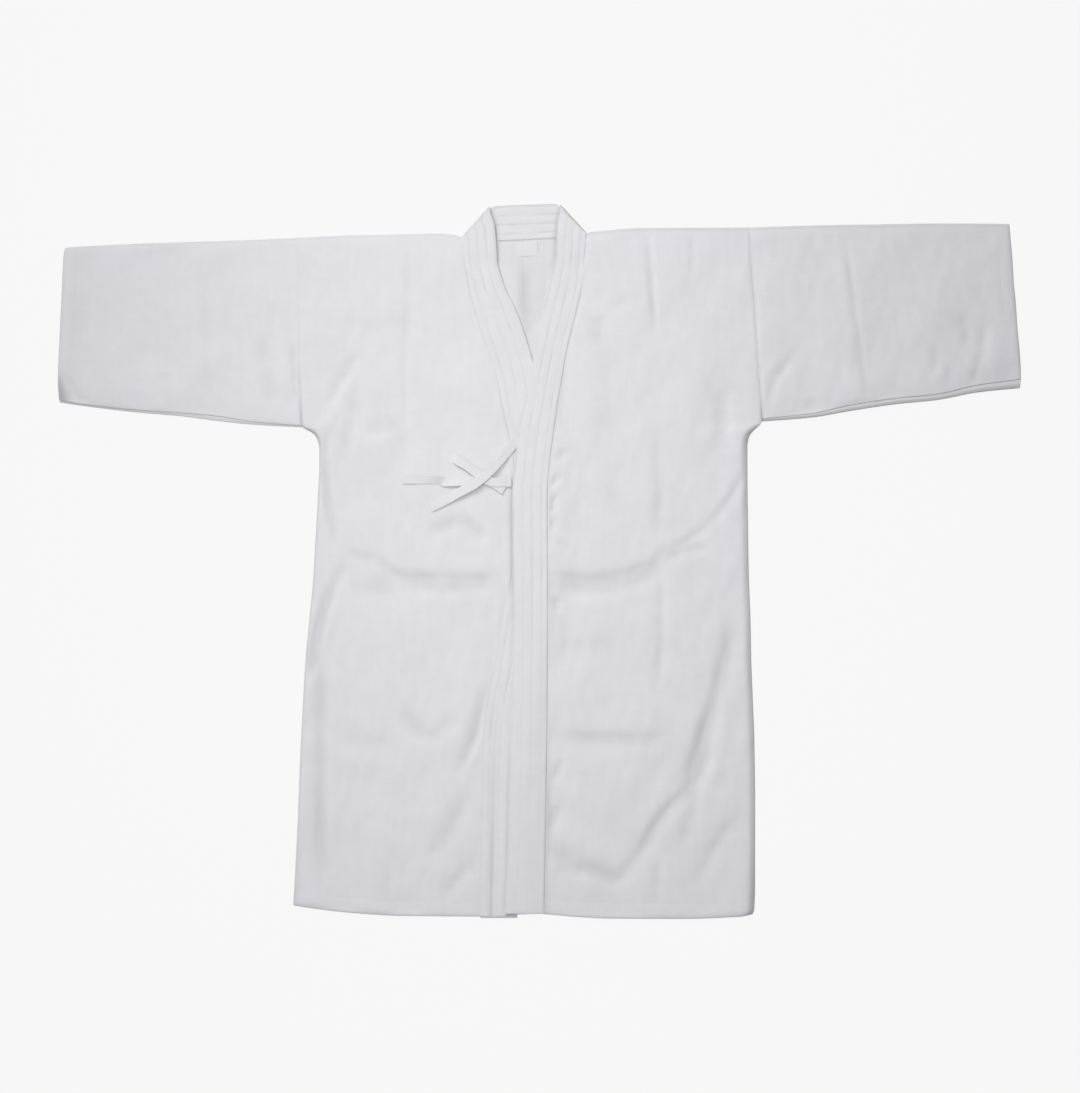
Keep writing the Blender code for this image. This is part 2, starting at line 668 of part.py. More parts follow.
def build():
    clear_scene()
    for side in ("right", "left"):
        body_half(side, cloth_material("cotton_body_" + side, COLOURS["body"]))
        sleeve(side, cloth_material("cotton_sleeve_" + side, COLOURS["body"]))
    collar_band(cloth_material("cotton_band", COLOURS["band"]))
    for name in TIE_ROUTES:
        tie(name, cloth_material("cotton_tape_" + name, COLOURS["tape"]))
    neck_label(cloth_material("label_cloth", COLOURS["label"]))


build()
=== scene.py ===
"""Kendo jacket laid flat: its cloth, seams, folds, bow and stitching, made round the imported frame.

The tables are in millimetres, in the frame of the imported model: +X towards the wearer's left cuff,
+Y towards the collar, +Z up. "right" and "left" are the wearer's sides.
"""
from math import cos, pi, radians, sin

import bpy
import numpy as np
from bpy.props import FloatProperty, FloatVectorProperty, PointerProperty
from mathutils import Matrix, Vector


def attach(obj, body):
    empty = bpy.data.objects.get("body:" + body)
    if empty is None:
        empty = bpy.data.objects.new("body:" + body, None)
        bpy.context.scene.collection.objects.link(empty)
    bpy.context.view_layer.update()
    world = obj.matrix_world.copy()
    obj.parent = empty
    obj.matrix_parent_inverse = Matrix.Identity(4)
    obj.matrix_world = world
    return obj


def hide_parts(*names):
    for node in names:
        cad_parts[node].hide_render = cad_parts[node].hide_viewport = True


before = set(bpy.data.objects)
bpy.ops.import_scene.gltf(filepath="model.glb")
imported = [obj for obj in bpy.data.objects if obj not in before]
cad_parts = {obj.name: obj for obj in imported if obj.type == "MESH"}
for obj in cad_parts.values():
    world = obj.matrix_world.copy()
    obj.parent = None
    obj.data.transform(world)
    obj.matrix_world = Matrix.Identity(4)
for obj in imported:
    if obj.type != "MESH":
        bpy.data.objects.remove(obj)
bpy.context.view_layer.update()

bl_info = {
    "name": "Kendo jacket laid flat",
    "version": (1, 0, 0),
    "blender": (4, 5, 0),
    "location": "View3D > Sidebar > Jacket",
    "description": "Builds the cloth, bow, stitching and studio of a kendo jacket laid flat",
    "category": "Object",
}

MM = 0.001
SHARP = radians(55)
UP, DOWN = (0.0, 0.0, 1.0), (0.0, 0.0, -1.0)
# Direction of x from the outer edge of each half towards the middle
INWARD = {"right": 1.0, "left": -1.0}

# Levels of the middle of each layer, and the spaces between layers
SOLID_CLOTH = 1.8
SOLID_BAND = 3.4
GAP = 0.3
LAYER = 0.4
# Seeds of the soft waves: body, sleeves, their under layers, the band's rows and the band's puckers
BODY_SEED, SLEEVE_SEED, UNDER_SEED, BAND_SEED, PUCKER_SEED = 5, 9, 12, 31, 21
FRONT_Z = SOLID_CLOTH + LAYER + SOLID_CLOTH / 2
FOLD_RADIUS = SOLID_CLOTH / 2 + LAYER / 2
FOLD_INSET = FOLD_RADIUS + SOLID_CLOTH / 2
BAND_ON_BACK = SOLID_CLOTH + LAYER + SOLID_BAND / 2
BAND_STEP = SOLID_BAND + GAP
BAND_ON_BAND = BAND_STEP + SOLID_BAND / 2
BAND_INSET = BAND_STEP / 2 + SOLID_BAND / 2

# Loft of the upper layer over the lower one, and how far from each edge it falls
LOFT = 2.6
LOFT_SIDE = {"right": 2.2, "left": 5.0}
LOFT_SIDE_REACH = 60.0
SIDE_ROLL = {"right": 5.0, "left": 8.5}
ARMHOLE_DIP = 6.0
BAND_SEAM_DIP = {"right": 40.0, "left": 12.0}
HEM_ROLL = 7.0
HEM_KEEP = 0.4
# Share of the loft that is left in each seam with the band, and in each armhole seam
BAND_SEAM_KEEP = {"right": 0.6, "left": 0.8}
ARMHOLE_KEEP = {"right": 0.85, "left": 0.8}
# Run of y over which the right armhole seam comes up level with the cloth beside it
ARMHOLE_FLAT_Y = (235.0, 275.0)
SEAM_GAP = 0.06
SHOULDER_ROLL = 12.0
CUFF_ROLL = 7.0
LIP_ROLL = 2.4
FOLD_FADE = 8.0
SHOULDER_FADE = 18.0
# Depth of the groove along a stitched hem and along a stitched cuff, and its half width
HEM_GROOVE, CUFF_GROOVE, GROOVE_WIDTH = 0.14, 0.06, 1.2
# Extra thickness of the turned-up hem and cuff, how far past the stitches it starts and over what length
HEM_EXTRA, CUFF_EXTRA = 0.12, 0.05
TURN_START, TURN_RUN = 1.5, 3.0
OVERLAP_RAMP = 40.0
OVERLAP_MARGIN = 3.0
OVERLAP_TOP_Y = (270.0, 330.0)
BAND_LIFT = 2.9
COLLAR_RAMP = (384.0, 404.0)

CENTRE_X = -19.0
SHOULDER_Y = 424.0
HEM_Y = -460.0
UNDERARM_Y = 174.0
UNDERARM_RUN = 24.0
# Height over which the armhole goes over into the side at the underarm
UNDERARM_BLEND = 16.0
HEM_BEND = (-300.0, -460.0)
SHOULDER_BEND = (300.0, 410.0)
HEM_WIDTH = 19.0
CUFF_WIDTH = 18.0

# Spacing of the cloth's mesh: close together near an edge, even further in
EDGE_STEPS = (0.0, 0.5, 1.2, 2.2, 3.6, 5.4, 7.6, 10.2, 13.2)
SEAM_STEPS = EDGE_STEPS[:7]
# Rows right at a line of stitches and on both sides of it
STITCH_STEPS = np.array((-1.6, 0.0, 1.6))
MIDDLE_COLUMNS = 70
BACK_ROW_STEP = 9.0
# Rows of the back at the hem's stitches and round the underarm
BACK_ROWS = (HEM_Y + HEM_WIDTH, 158, 166, 171, 176, 184)
# Spacing of the back's columns beside the front's, as a factor on the mesh's cell
BACK_CELLS = 1.3
BEND_STEPS = 8
# Thickness left on the last rows at an edge, as shares of the whole: a cut end, a folded one, the band's
# and the ties' ends
CUT_END = (0.45, 0.85)
FOLDED_END = (0.85,)
BAND_CUT = (0.5, 0.85)
TIE_CUT = (0.6, 0.9)
CURL_COLUMNS = 5

# Outer edge of each body half: side seam, underarm curve and armhole. Columns: y, x
SIDE_EDGE = {
    "right": ((-462, -322), (-445, -321), (-414, -319), (-336, -315), (-258, -312), (-180, -308),
              (-128, -305), (-76, -300), (-24, -295), (28, -292), (80, -289), (130, -287),
              (145, -287), (158, -289), (166, -294), (171, -302), (174, -309), (190, -310),
              (240, -312), (290, -313), (350, -314), (424, -314)),
    "left": ((-466, 270), (-461, 277), (-452, 280), (-420, 281), (-310, 281), (-232, 280),
             (-180, 278), (-128, 276), (-76, 275), (-24, 273), (28, 272), (130, 271),
             (150, 271), (162, 273), (171, 279), (178, 287), (182, 289), (210, 288),
             (250, 285), (290, 282), (340, 279), (379, 276), (436, 272)),
}
# Shoulder fold and hem of each half. Columns: x, y
SHOULDER_FOLD = {
    "right": ((-314, 421), (-250, 424), (-181, 425.5), (-130, 426.5), (-112, 425), (-100, 421.5)),
    "left": ((61, 427), (66, 428.5), (90, 431), (131, 434), (272, 434.5)),
}
HEM_LINE = {
    "right": ((-322, -447), (-298, -451), (-246, -457), (-181, -461), (-77, -462)),
    "left": ((10, -459), (42, -462), (89, -464.5), (183, -465), (261, -462), (277, -459)),
}
# How far the layers below are pressed down along the upper band's free edge. Columns: y, depth
PRESSED = ((-460, 0.6), (-380, 0.8), (-260, 0.6), (-190, 0.3), (-120, 0.5), (-70, 0.6), (-30, 0.9),
           (20, 1.3), (60, 1.4), (90, 1.2), (130, 0.5), (200, 0.3), (260, 0.2), (330, 0.1))
PRESSED_REACH = 2.7
# Soft ridge beside the pressed line: place of its top and half width, both from the edge, and its share
PRESSED_RIDGE = (6.5, 2.8, 0.35)
# Shade in the pressed line, on the front and on its band, and the depth past which it gets no darker
PRESSED_SHADE = {"front": 1.3, "band": 0.6}
PRESSED_FULL = 1.4
# Shade on each front beside the seam of its band. Columns: y, reach, strength
SEAM_SHADE = {
    "right": ((-465, 1.5, 0.0), (140, 1.5, 0.1), (171, 2.2, 1.0), (215, 2.2, 0.7), (260, 1.8, 0.2),
              (320, 2.2, 0.6), (389, 2.2, 0.9), (430, 1.5, 0.2)),
    "left": ((-460, 6.0, 1.5), (-290, 5.5, 1.2), (-200, 2.6, 0.6), (-70, 2.6, 0.4), (-40, 3.0, 1.1),
             (-16, 3.0, 1.0), (0, 2.4, 0.2), (26, 2.4, 0.2), (42, 2.6, 0.5), (88, 2.6, 0.7),
             (108, 2.4, 0.6), (150, 2.4, 0.7), (200, 2.4, 1.0), (340, 1.8, 0.8), (375, 1.5, 0.3),
             (430, 1.5, 0.1)),
}
# Steepness of the cloth that falls away at a side. Columns: share of the reach, share of the height
FALL = ((0.0, 0.0), (0.04, 0.10), (0.45, 0.50), (0.85, 0.87), (1.1, 0.975), (1.5, 1.0))
# Seam of the collar band on each front, and the band's free edge. Columns: y, x of seam, x of free edge
BAND_EDGES = {
    "right": ((-465, -77, -29), (-375, -75, -27), (-245, -72.3, -24.8), (-205, -69.5, -22.5),
              (-172, -65, -18), (-140, -58.5, -11), (-63, -46, 2), (-24, -38, 10), (28, -32.5, 14.5),
              (80, -31, 16),
              (145, -35, 13), (171, -41, 8), (199, -47.5, 1), (242, -56, -5), (290, -72, -17),
              (338, -87, -35), (355, -91, -44), (372, -94, -49), (389, -97, -54), (412, -99, -56)),
    "left": ((-457.5, 6, -45), (-375, 7.5, -41), (-243, 9.5, -38.5), (-150, 10.5, -36), (-50, 11, -34.5),
             (54, 10.5, -35.5), (86, 10.5, -35.5), (125, 13, -32.5), (171, 19, -27), (190, 21.5, -23),
             (225, 27, -16), (281, 37, -5), (316, 46, 2), (333, 50, 7), (364, 56, 15),
             (392, 58, 20.5), (412, 59.5, 22)),
}
# Seam of the band on the back of the neck. Columns: x, y
NECK_LINE = ((-100, 417.2), (-78, 417), (-52, 417.5), (-19, 419), (20, 421), (44, 421.8), (61, 422.4))
# Back stretch of the band. Columns: x on seam, x on free edge, y there
BAND_BACK = ((-78, -58, 462), (-52, -44, 463), (CENTRE_X, -18, 464), (20, 12, 465), (44, 22, 465))
# Corner rows of the band. Columns: x and y on the seam edge, x and y on the free edge
BAND_CORNER = {
    "right": ((-99.2, 415.2, -58, 436), (-100.4, 423.2, -66.3, 461.9)),
    "left": ((59.8, 422, 23, 440), (61.4, 428, 28.2, 464.2)),
}
BAND_END = {"right": -2.0, "left": 1.5}
# Share of the band's width where it has a stitched row, from the seam edge to the free edge
BAND_STITCH_SHARES = (0.17, 0.44, 0.70, 0.955)
# Columns of the band's mesh, as shares of its width: close together beside its edges and stitched rows
BAND_SHARES = (0.0, 0.012, 0.035, 0.075, 0.11, 0.14, 0.155, 0.17, 0.185, 0.205, 0.24, 0.29, 0.35, 0.39, 0.42,
               0.44, 0.46, 0.49, 0.55, 0.61, 0.66, 0.685, 0.70, 0.715, 0.74, 0.80, 0.86, 0.905, 0.935, 0.955,
               0.97, 0.985, 1.0)
# Column along which the band's length is measured
BAND_RUN_COLUMN = 12
BAND_ROW_STEP = 4.0

# Sleeves. Columns: share of the length, y of top fold, y of front layer's low edge, y of tube's low edge
SLEEVE_ROWS = {
    "right": ((0.0, 421, 175, 174), (0.20, 418.5, 180, 177.5), (0.34, 417, 187, 182),
              (0.50, 415.5, 191.5, 188.5), (0.70, 413.5, 196, 194), (0.93, 410, 204, 203),
              (1.0, 408.5, 207.5, 206.5)),
    "left": ((0.0, 434.5, 184, 181.5), (0.20, 437, 191, 187), (0.34, 438, 201.5, 195),
             (0.52, 439, 210.5, 204), (0.68, 440, 216, 209.5), (0.84, 440, 228, 219.5),
             (1.0, 439.5, 235.5, 225)),
}
CUFF_EDGE = {
    "right": ((205, -624), (215, -625.5), (236, -626.5), (288, -624.5), (340, -622), (392, -619.5),
              (402, -618.5), (410, -616)),
    "left": ((224, 625), (238, 626.5), (275, 624.5), (301, 622), (337, 619.5), (363, 617),
             (389, 615.5), (418, 613), (440, 611)),
}
# Rows of the low strip that shows below the front layer, as shares of its width
LAP_SHARES = (0.06, 0.16, 0.5, 0.72, 0.9)
LAP_DROP = (0.0, 0.0, 0.0, 0.12, 0.45)
LAP_SHADE = {"right": (0.6, 0.6, 0.8, 1.0), "left": (0.0, 0.2, 1.6, 3.2)}
# Height over which a sleeve's rows are spread, and the row at which its length is measured
SLEEVE_DEPTH = 260.0
SLEEVE_LEVEL = 300.0
# Shade of a sleeve: strength and reach at the cuff, then at the low lip
SLEEVE_SHADE = {"right": (0.8, 3.4, 0.7, 6.5), "left": (1.0, 1.8, 0.5, 1.8)}
# Loft that is left at the lip, and the height over which it grows back
LIP_KEEP, LIP_RUN = 0.5, 30.0
# The right cuff's low corner turns down: loft that is left in it, its reach, and the height of its shade
CORNER_KEEP, CORNER_ROLL, CORNER_SHADE_RUN = 0.1, 24.0, 36.0
# Strength of that shade, its least reach and how much further it goes at the bottom; the same, fainter
# and further, all over the corner
CORNER_SHADE, CORNER_HAZE = (3.0, 4.0, 11.0), (0.7, 16.0)
# Waves of the sleeve's hidden under layer: height and number of rows
UNDER_WAVE, UNDER_ROWS = 0.7, 26
SLEEVE_COLUMN_STEP = 3.6
SLEEVE_ROW_STEP = 3.6

# Depth of a fold that counts as fully creased
CREASE_FULL = 2.6
# Folds of the fronts. Columns: rise (below 0, a trough), half width, lean (above 0, steeper on the
# left of its run), points along it
BODY_FOLDS = (
    # Packing creases across the belly
    (-1.6, 8, 0.2, ((-250, 20), (-232, 6), (-210, 2), (-190, -14), (-168, -20))),
    (-2.6, 12, 0.3, ((-196, -15), (-178, -21), (-150, -22), (-120, -22), (-90, -23), (-44, -22))),
    (-1.0, 8, 0.0, ((-186, -34), (-140, -37), (-90, -37), (-50, -35))),
    (-2.9, 13, 0.3, ((2, -15), (22, -21), (65, -25), (110, -18), (143, -9), (158, 7), (176, 20))),
    (-1.0, 9, 0.0, ((24, -37), (70, -41), (112, -34), (140, -25))),
    (-1.8, 8, 0.0, ((158, 3), (178, 8), (204, 17), (224, 16))),
    (-1.3, 14, 0.0, ((-250, -38), (-214, -38), (-180, -36))),
    (-1.0, 16, 0.0, ((20, -105), (60, -112), (110, -104))),
    (-1.6, 12, 0.0, ((-190, -190), (-170, -206), (-150, -226), (-130, -224), (-112, -204), (-102, -190))),
    (-1.8, 12, 0.2, ((-10, -222), (14, -227), (60, -231), (100, -231), (140, -231), (190, -226))),
    (-0.8, 13, 0.0, ((-262, -226), (-215, -236), (-178, -232))),
    # Drag from the left side seam
    (-1.6, 6.5, -0.2, ((270, 140), (265, 118), (256, 96), (241, 74), (221, 51), (200, 33), (171, 18),
                        (150, 8))),
    # Long fold down to the left hem, and the folds that leave it
    (-3.6, 12, -0.15, ((252, -60), (244, -108), (235, -150), (226, -188), (214, -222), (202, -262),
                       (188, -290), (172, -312))),
    (-2.8, 9, -0.2, ((230, -232), (214, -262), (194, -294), (170, -318), (150, -344), (134, -372),
                     (118, -396), (100, -420))),
    (-1.6, 12, 0.0, ((206, -272), (200, -304), (194, -340), (186, -374))),
    (1.0, 12, 0.0, ((240, -160), (238, -205), (232, -250), (222, -300))),
    (0.8, 12, 0.0, ((190, -246), (160, -296), (130, -338), (100, -370))),
    (-3.1, 13, 0.2, ((124, -396), (108, -410), (96, -413), (74, -405), (46, -394), (24, -382), (2, -366))),
    (-1.5, 8, 0.0, ((62, -400), (40, -404), (18, -396))),
    (-1.5, 10, 0.0, ((270, -312), (258, -332), (239, -355), (222, -380), (208, -408), (200, -424))),
    # Slanting folds beside the lower band
    (-2.5, 8, 0.3, ((-69, -158), (-72, -178), (-77, -208), (-88, -242), (-110, -284))),
    (0.3, 9, 0.0, ((-72, -196), (-78, -236), (-92, -280))),
    (-1.9, 12, 0.0, ((-92, -296), (-106, -330), (-126, -366), (-150, -392))),
    (-1.6, 10, 0.0, ((-76, -384), (-98, -404), (-128, -440))),
    # Down the right side
    (-3.3, 6, 0.0, ((-277, 170), (-279, 130), (-275, 80), (-268, 40), (-264, 6))),
    (-3.6, 8, 0.2, ((-246, 2), (-259, -18), (-273, -48), (-284, -84), (-294, -128), (-299, -170))),
    (-3.0, 9, 0.0, ((-286, -90), (-283, -160), (-284, -240), (-284, -320), (-282, -450))),
    # Under the arms and on the chest
    (-2.1, 7, 0.0, ((-234, 278), (-243, 262), (-254, 242), (-265, 222), (-274, 202))),
    (2.0, 9, 0.0, ((-292, 160), (-272, 184), (-254, 214), (-244, 250))),
    (-1.7, 9, 0.0, ((-246, 220), (-242, 196), (-250, 160), (-252, 120))),
    (0.8, 14, 0.0, ((-212, 170), (-206, 140), (-208, 110))),
    (-1.1, 13, 0.0, ((-238, 176), (-214, 172), (-190, 176), (-180, 160), (-184, 120))),
    (-0.9, 7, 0.0, ((-172, 405), (-172, 340), (-174, 260), (-176, 180))),
    (-0.8, 16, 0.0, ((-264, 320), (-230, 306), (-190, 310), (-150, 318))),
    (-1.8, 10, 0.0, ((230, 226), (238, 196), (236, 160), (226, 130))),
    (0.8, 10, 0.0, ((258, 204), (256, 180), (250, 156))),
    (-1.2, 11, 0.0, ((74, 322), (78, 304), (76, 280))),
    (-1.0, 9, 0.0, ((88, 326), (104, 335), (120, 341), (140, 345))),
    (-0.9, 16, 0.0, ((84, 300), (86, 250), (84, 200), (96, 150))),
    (-0.9, 12, 0.0, ((100, 130), (96, 90), (104, 50))),
    # Long packing creases of the left front
    (-2.0, 5, 0.3, ((142, 431), (144, 395), (147, 360), (150, 320), (152, 286))),
    (-1.4, 7.5, 0.0, ((152, 176), (155, 110), (157, 60), (156, 16))),
    (-1.5, 7, 0.0, ((156, 0), (157, -40), (158, -90), (156, -140), (152, -190))),
    (-1.1, 8, 0.0, ((150, -370), (153, -420), (153, -456))),
    (-1.0, 6, 0.0, ((198, 430), (199, 400), (197, 360))),
    (-0.8, 6, 0.0, ((-197, -400), (-196, -430), (-198, -455))),
    # Pull of the tie
    (-2.0, 10, 0.0, ((-146, 34), (-122, 45), (-100, 51), (-80, 37), (-64, 20))),
    # Puckers along the band's seam
    (-1.7, 6, 0.0, ((35, 147), (29, 138), (22, 129))),
    (-2.1, 5.5, 0.0, ((27, 114), (21, 106), (15, 97))),
    (-2.6, 5, 0.0, ((20, 89), (18, 77), (14.5, 62))),
    (-1.8, 5, 0.0, ((14, 59), (16, 49), (19, 39))),
    (-1.3, 6, 0.0, ((24, 29), (33, 19), (42, 24))),
    (-1.6, 5.5, 0.0, ((20, -45), (22, -56), (24, -68))),
    (-2.1, 6, 0.0, ((28, -258), (24, -272), (20, -290))),
    (-2.1, 6, 0.0, ((24, -316), (20, -334), (18, -350))),
)
SLEEVE_FOLDS = (
    (-2.0, 7, 0.2, ((334, 280), (322, 256), (306, 234), (296, 200))),
    (0.4, 9, 0.0, ((346, 262), (330, 238), (320, 206))),
    (-1.3, 4.2, 0.3, ((399, 436), (403, 390), (408, 350), (412, 318), (417, 290), (421, 256), (425, 222),
                      (427, 204))),
    (0.5, 8, 0.0, ((389, 418), (394, 360), (400, 318), (407, 270), (413, 226))),
    (-1.0, 9, 0.0, ((346, 208), (356, 203), (366, 208))),
    (-1.3, 6, 0.0, ((549, 326), (553, 302), (556, 276))),
    (-1.3, 6, 0.0, ((581, 316), (577, 284), (568, 246), (566, 220))),
    (-1.0, 6, 0.0, ((516, 282), (516, 262), (511, 240))),
    (-1.0, 8, 0.0, ((536, 262), (532, 240), (524, 222))),
    (0.9, 10, 0.0, ((594, 304), (594, 270), (590, 236))),
    (1.3, 9, 0.0, ((-341, 288), (-334, 248), (-326, 204))),
    (-1.3, 12, 0.0, ((-364, 300), (-358, 262), (-349, 222), (-341, 198))),
    (-1.6, 6, 0.0, ((-323, 296), (-320, 262), (-317, 226), (-315, 196))),
    (-0.9, 8, 0.0, ((-436, 405), (-434, 340), (-432, 260), (-430, 200))),
    (-0.9, 8, 0.0, ((-486, 246), (-487, 238), (-488, 230))),
    (-1.2, 14, 0.0, ((-606, 350), (-600, 310), (-602, 262))),
    (-2.0, 8, 0.0, ((-626, 250), (-612, 230), (-600, 212), (-584, 200))),
)
# Creases of the back, where it doesn't show: each lifts the cloth a little off the surface
BACK_FOLDS = (
    (0.9, 9, 0.0, ((-270, -30), (-200, -22), (-120, -34), (-40, -28))),
    (0.8, 8, 0.0, ((10, -24), (90, -36), (170, -22), (250, -30))),
    (0.8, 10, 0.0, ((-260, -236), (-180, -228), (-60, -238))),
    (0.9, 9, 0.0, ((20, -240), (120, -230), (240, -242))),
    (0.7, 7, 0.0, ((-180, 380), (-176, 240), (-182, 60), (-178, -160), (-184, -380))),
    (0.7, 7, 0.0, ((146, 390), (150, 200), (144, 20), (150, -180), (146, -400))),
    (0.8, 10, 0.0, ((250, 150), (200, 60), (170, -10))),
    (0.8, 10, 0.0, ((-260, 150), (-220, 70), (-190, 20))),
)
# Crease on each side of the centre back seam, inside the neck. Columns: y, rise beside it
NECK_CREASE = ((250, 0.0), (300, 1.0), (330, 1.9), (360, 1.9), (385, 0.9), (410, 0.2))

# Bow. Columns: x, y, layer above the fronts, turn about its run in degrees
TIE_ROUTES = {
    "tie_left": ((-26, 162, -0.6, -10), (-38, 147, 0.9, -8), (-50, 132.5, 2.1, -6), (-61, 120.5, 3.2, -4),
                 (-72.5, 109, 3.8, 0), (-84, 100.5, 3.6, 4), (-95.5, 94, 2.7, 6), (-109, 86.5, 1.4, 6),
                 (-125, 78, 0.3, 4), (-142, 69, 0.1, 0)),
    "tie_right": ((-178, 107, 0.0, 0), (-160, 106.5, 0.1, 4), (-142, 106, 0.3, 12), (-130, 104, 0.5, 22),
                  (-118, 103, 0.3, -14), (-95, 104, 0.1, -4), (-71, 106, 0.0, 0), (-60, 101, 0.0, 0),
                  (-50, 95, 0.0, 0), (-45.6, 92.2, 0.5, 0), (-50, 95, 1.0, 0), (-70, 108, 1.0, 0),
                  (-90, 121, 1.1, 0), (-106, 131, 1.2, 0), (-110.4, 133.6, 1.7, 0), (-106, 131, 2.2, 0),
                  (-90, 121, 2.1, 0), (-74, 109, 2.1, 0), (-62, 103, 2.1, 0), (-48, 103, 2.1, 0),
                  (-42, 103, 1.2, 0), (-36.5, 103, 0.4, 0)),
}
TIE_WIDTH = 12.0
TIE_STEP = 1.05
TIE_ON_CLOTH = 0.75
# Columns of a tie's mesh across its half width, and the place of its stitches
TIE_SHARES = (-1, -0.985, -0.94, -0.84, -0.7, -0.45, 0, 0.45, 0.7, 0.84, 0.94, 0.985, 1.0)
TIE_STITCH_SHARE = 0.7
# Dimple of those stitches: depth, and half width as a share. Edge of a tie: thickness left and run, as shares
TIE_DIMPLE, TIE_EDGE = (0.15, 0.06), (0.4, 0.16)
# Waver of a tie's width: share, length and start of each wave. Share of the width at its cut ends
TIE_WAVER, TIE_END_WIDTH = ((0.035, 6.5, 0.0), (0.02, 2.7, 1.0)), 0.97
# Rows on each side over which the ground below a tie is evened out
TIE_EVEN_ROWS = 4

LABEL_CENTRE = (-15.0, 407.0)
LABEL_SIZE = (26.0, 20.0)
# Columns and rows of the label's mesh, its space above the back, its puff and the row of its stitches
LABEL_SHARES = (-1, -0.98, -0.93, -0.84, -0.6, -0.3, 0, 0.3, 0.6, 0.84, 0.93, 0.98, 1.0)
LABEL_LIFT, LABEL_PUFF, LABEL_STITCH_ROW = 0.15, 0.25, 2


def mix(start, end, share):
    """Value at a share of the way from the first to the second."""
    return start + (end - start) * share


def bell(distance, width):
    """1 at no distance, falling off softly on both sides: about a third is left at the width."""
    return np.exp(-(distance / width) ** 2)


def walked(points):
    """Length along a run of points, from its start to each of them."""
    steps = np.linalg.norm(np.diff(points, axis=0), axis=1)
    return np.concatenate(((0.0,), np.cumsum(steps)))


def ease(share):
    """0 to 1, level at both ends."""
    share = np.clip(share, 0.0, 1.0)
    return share * share * (3 - 2 * share)


def roll(distance, reach):
    """0 at an edge, rounding up to 1 at a reach from it."""
    share = np.clip(distance / reach, 0.0, 1.0)
    return np.sqrt(1 - (1 - share) ** 2)


def dip(distance, reach):
    """0 in a seam, curving up to 1 at a reach from it, without the steep start of a roll."""
    share = np.clip(distance / reach, 0.0, 1.0)
    return share * (2 - share)


def follow(rows, at, column=1):
    """Values of one column of a table at places in its first column, on a smooth curve."""
    rows = np.asarray(rows, float)
    keys, values = rows[:, 0], rows[:, column]
    at = np.clip(np.asarray(at, float), keys[0], keys[-1])
    runs = np.diff(values) / np.diff(keys)
    slopes = np.concatenate((runs[:1], np.zeros(len(runs) - 1), runs[-1:]))
    before, after = runs[:-1], runs[1:]
    same = before * after > 0
    slopes[1:-1][same] = 2 * before[same] * after[same] / (before[same] + after[same])
    i = np.clip(np.searchsorted(keys, at, side="right") - 1, 0, len(keys) - 2)
    span = keys[i + 1] - keys[i]
    t = (at - keys[i]) / span
    return ((2 * t ** 3 - 3 * t ** 2 + 1) * values[i] + (t ** 3 - 2 * t ** 2 + t) * slopes[i] * span
            + (3 * t ** 2 - 2 * t ** 3) * values[i + 1] + (t ** 3 - t ** 2) * slopes[i + 1] * span)


def smooth_line(points, steps=6):
    """Points on one smooth curve through the given ones, with any number of columns."""
    p = np.asarray(points, float)
    p = np.vstack((2 * p[0] - p[1], p, 2 * p[-1] - p[-2]))
    t = np.linspace(0, 1, steps, endpoint=False)[:, None]
    runs = []
    for a, b, c, d in zip(p, p[1:], p[2:], p[3:]):
        runs.append(0.5 * (2 * b + (c - a) * t + (2 * a - 5 * b + 4 * c - d) * t ** 2
                           + (3 * b - a - 3 * c + d) * t ** 3))
    return np.vstack(runs + [p[-2:-1]])


def beside(line, x, y):
    """Distance of each place to a line, the share of the line there, and +1 on its left, -1 on its right."""
    lengths = np.hypot(*np.diff(line, axis=0).T)
    away = np.full(x.shape, 1e9)
    share = np.zeros(x.shape)
    hand = np.ones(x.shape)
    walked = 0.0
    for (ax, ay), (bx, by), length in zip(line, line[1:], lengths):
        t = np.clip(((x - ax) * (bx - ax) + (y - ay) * (by - ay)) / length ** 2, 0, 1)
        gap = np.hypot(x - mix(ax, bx, t), y - mix(ay, by, t))
        nearer = gap < away
        away = np.where(nearer, gap, away)
        share = np.where(nearer, (walked + t * length) / lengths.sum(), share)
        hand = np.where(nearer, np.sign((bx - ax) * (y - ay) - (by - ay) * (x - ax)), hand)
        walked += length
    return away, share, hand


# Broad swelling on both sides of a fold: its height and width as shares of the fold's own
SHOULDER, SHOULDER_WIDTH = 0.2, 2.2
# Unevenness along a fold, a long and a short change: share of its rise, and waves over its run
FOLD_WAVER = ((0.2, 11.0), (0.12, 27.0))
# A fold fades over one part in this many of its run at each end
FOLD_END_PARTS = 4.0


def fold_field(folds, x, y):
    """Sum of the folds at each place; each fades at its ends and is uneven along its run."""
    total = np.zeros(x.shape)
    for rise, width, lean, points in folds:
        line = smooth_line(points)
        (left, low), (right, high) = line.min(axis=0) - 5 * width, line.max(axis=0) + 5 * width
        near = (x > left) & (x < right) & (y > low) & (y < high)
        if not near.any():
            continue
        away, share, hand = beside(line, x[near], y[near])
        half = width * (1 - lean * hand)
        (long, long_waves), (short, short_waves) = FOLD_WAVER
        uneven = (1 + long * np.sin(long_waves * share + 5 * rise + width)
                  + short * np.sin(short_waves * share + 3 * width))
        shape = bell(away, half) - SHOULDER * bell(away, SHOULDER_WIDTH * half)
        total[near] += (rise * uneven * shape * ease(FOLD_END_PARTS * share)
                        * ease(FOLD_END_PARTS * (1 - share)))
    return total


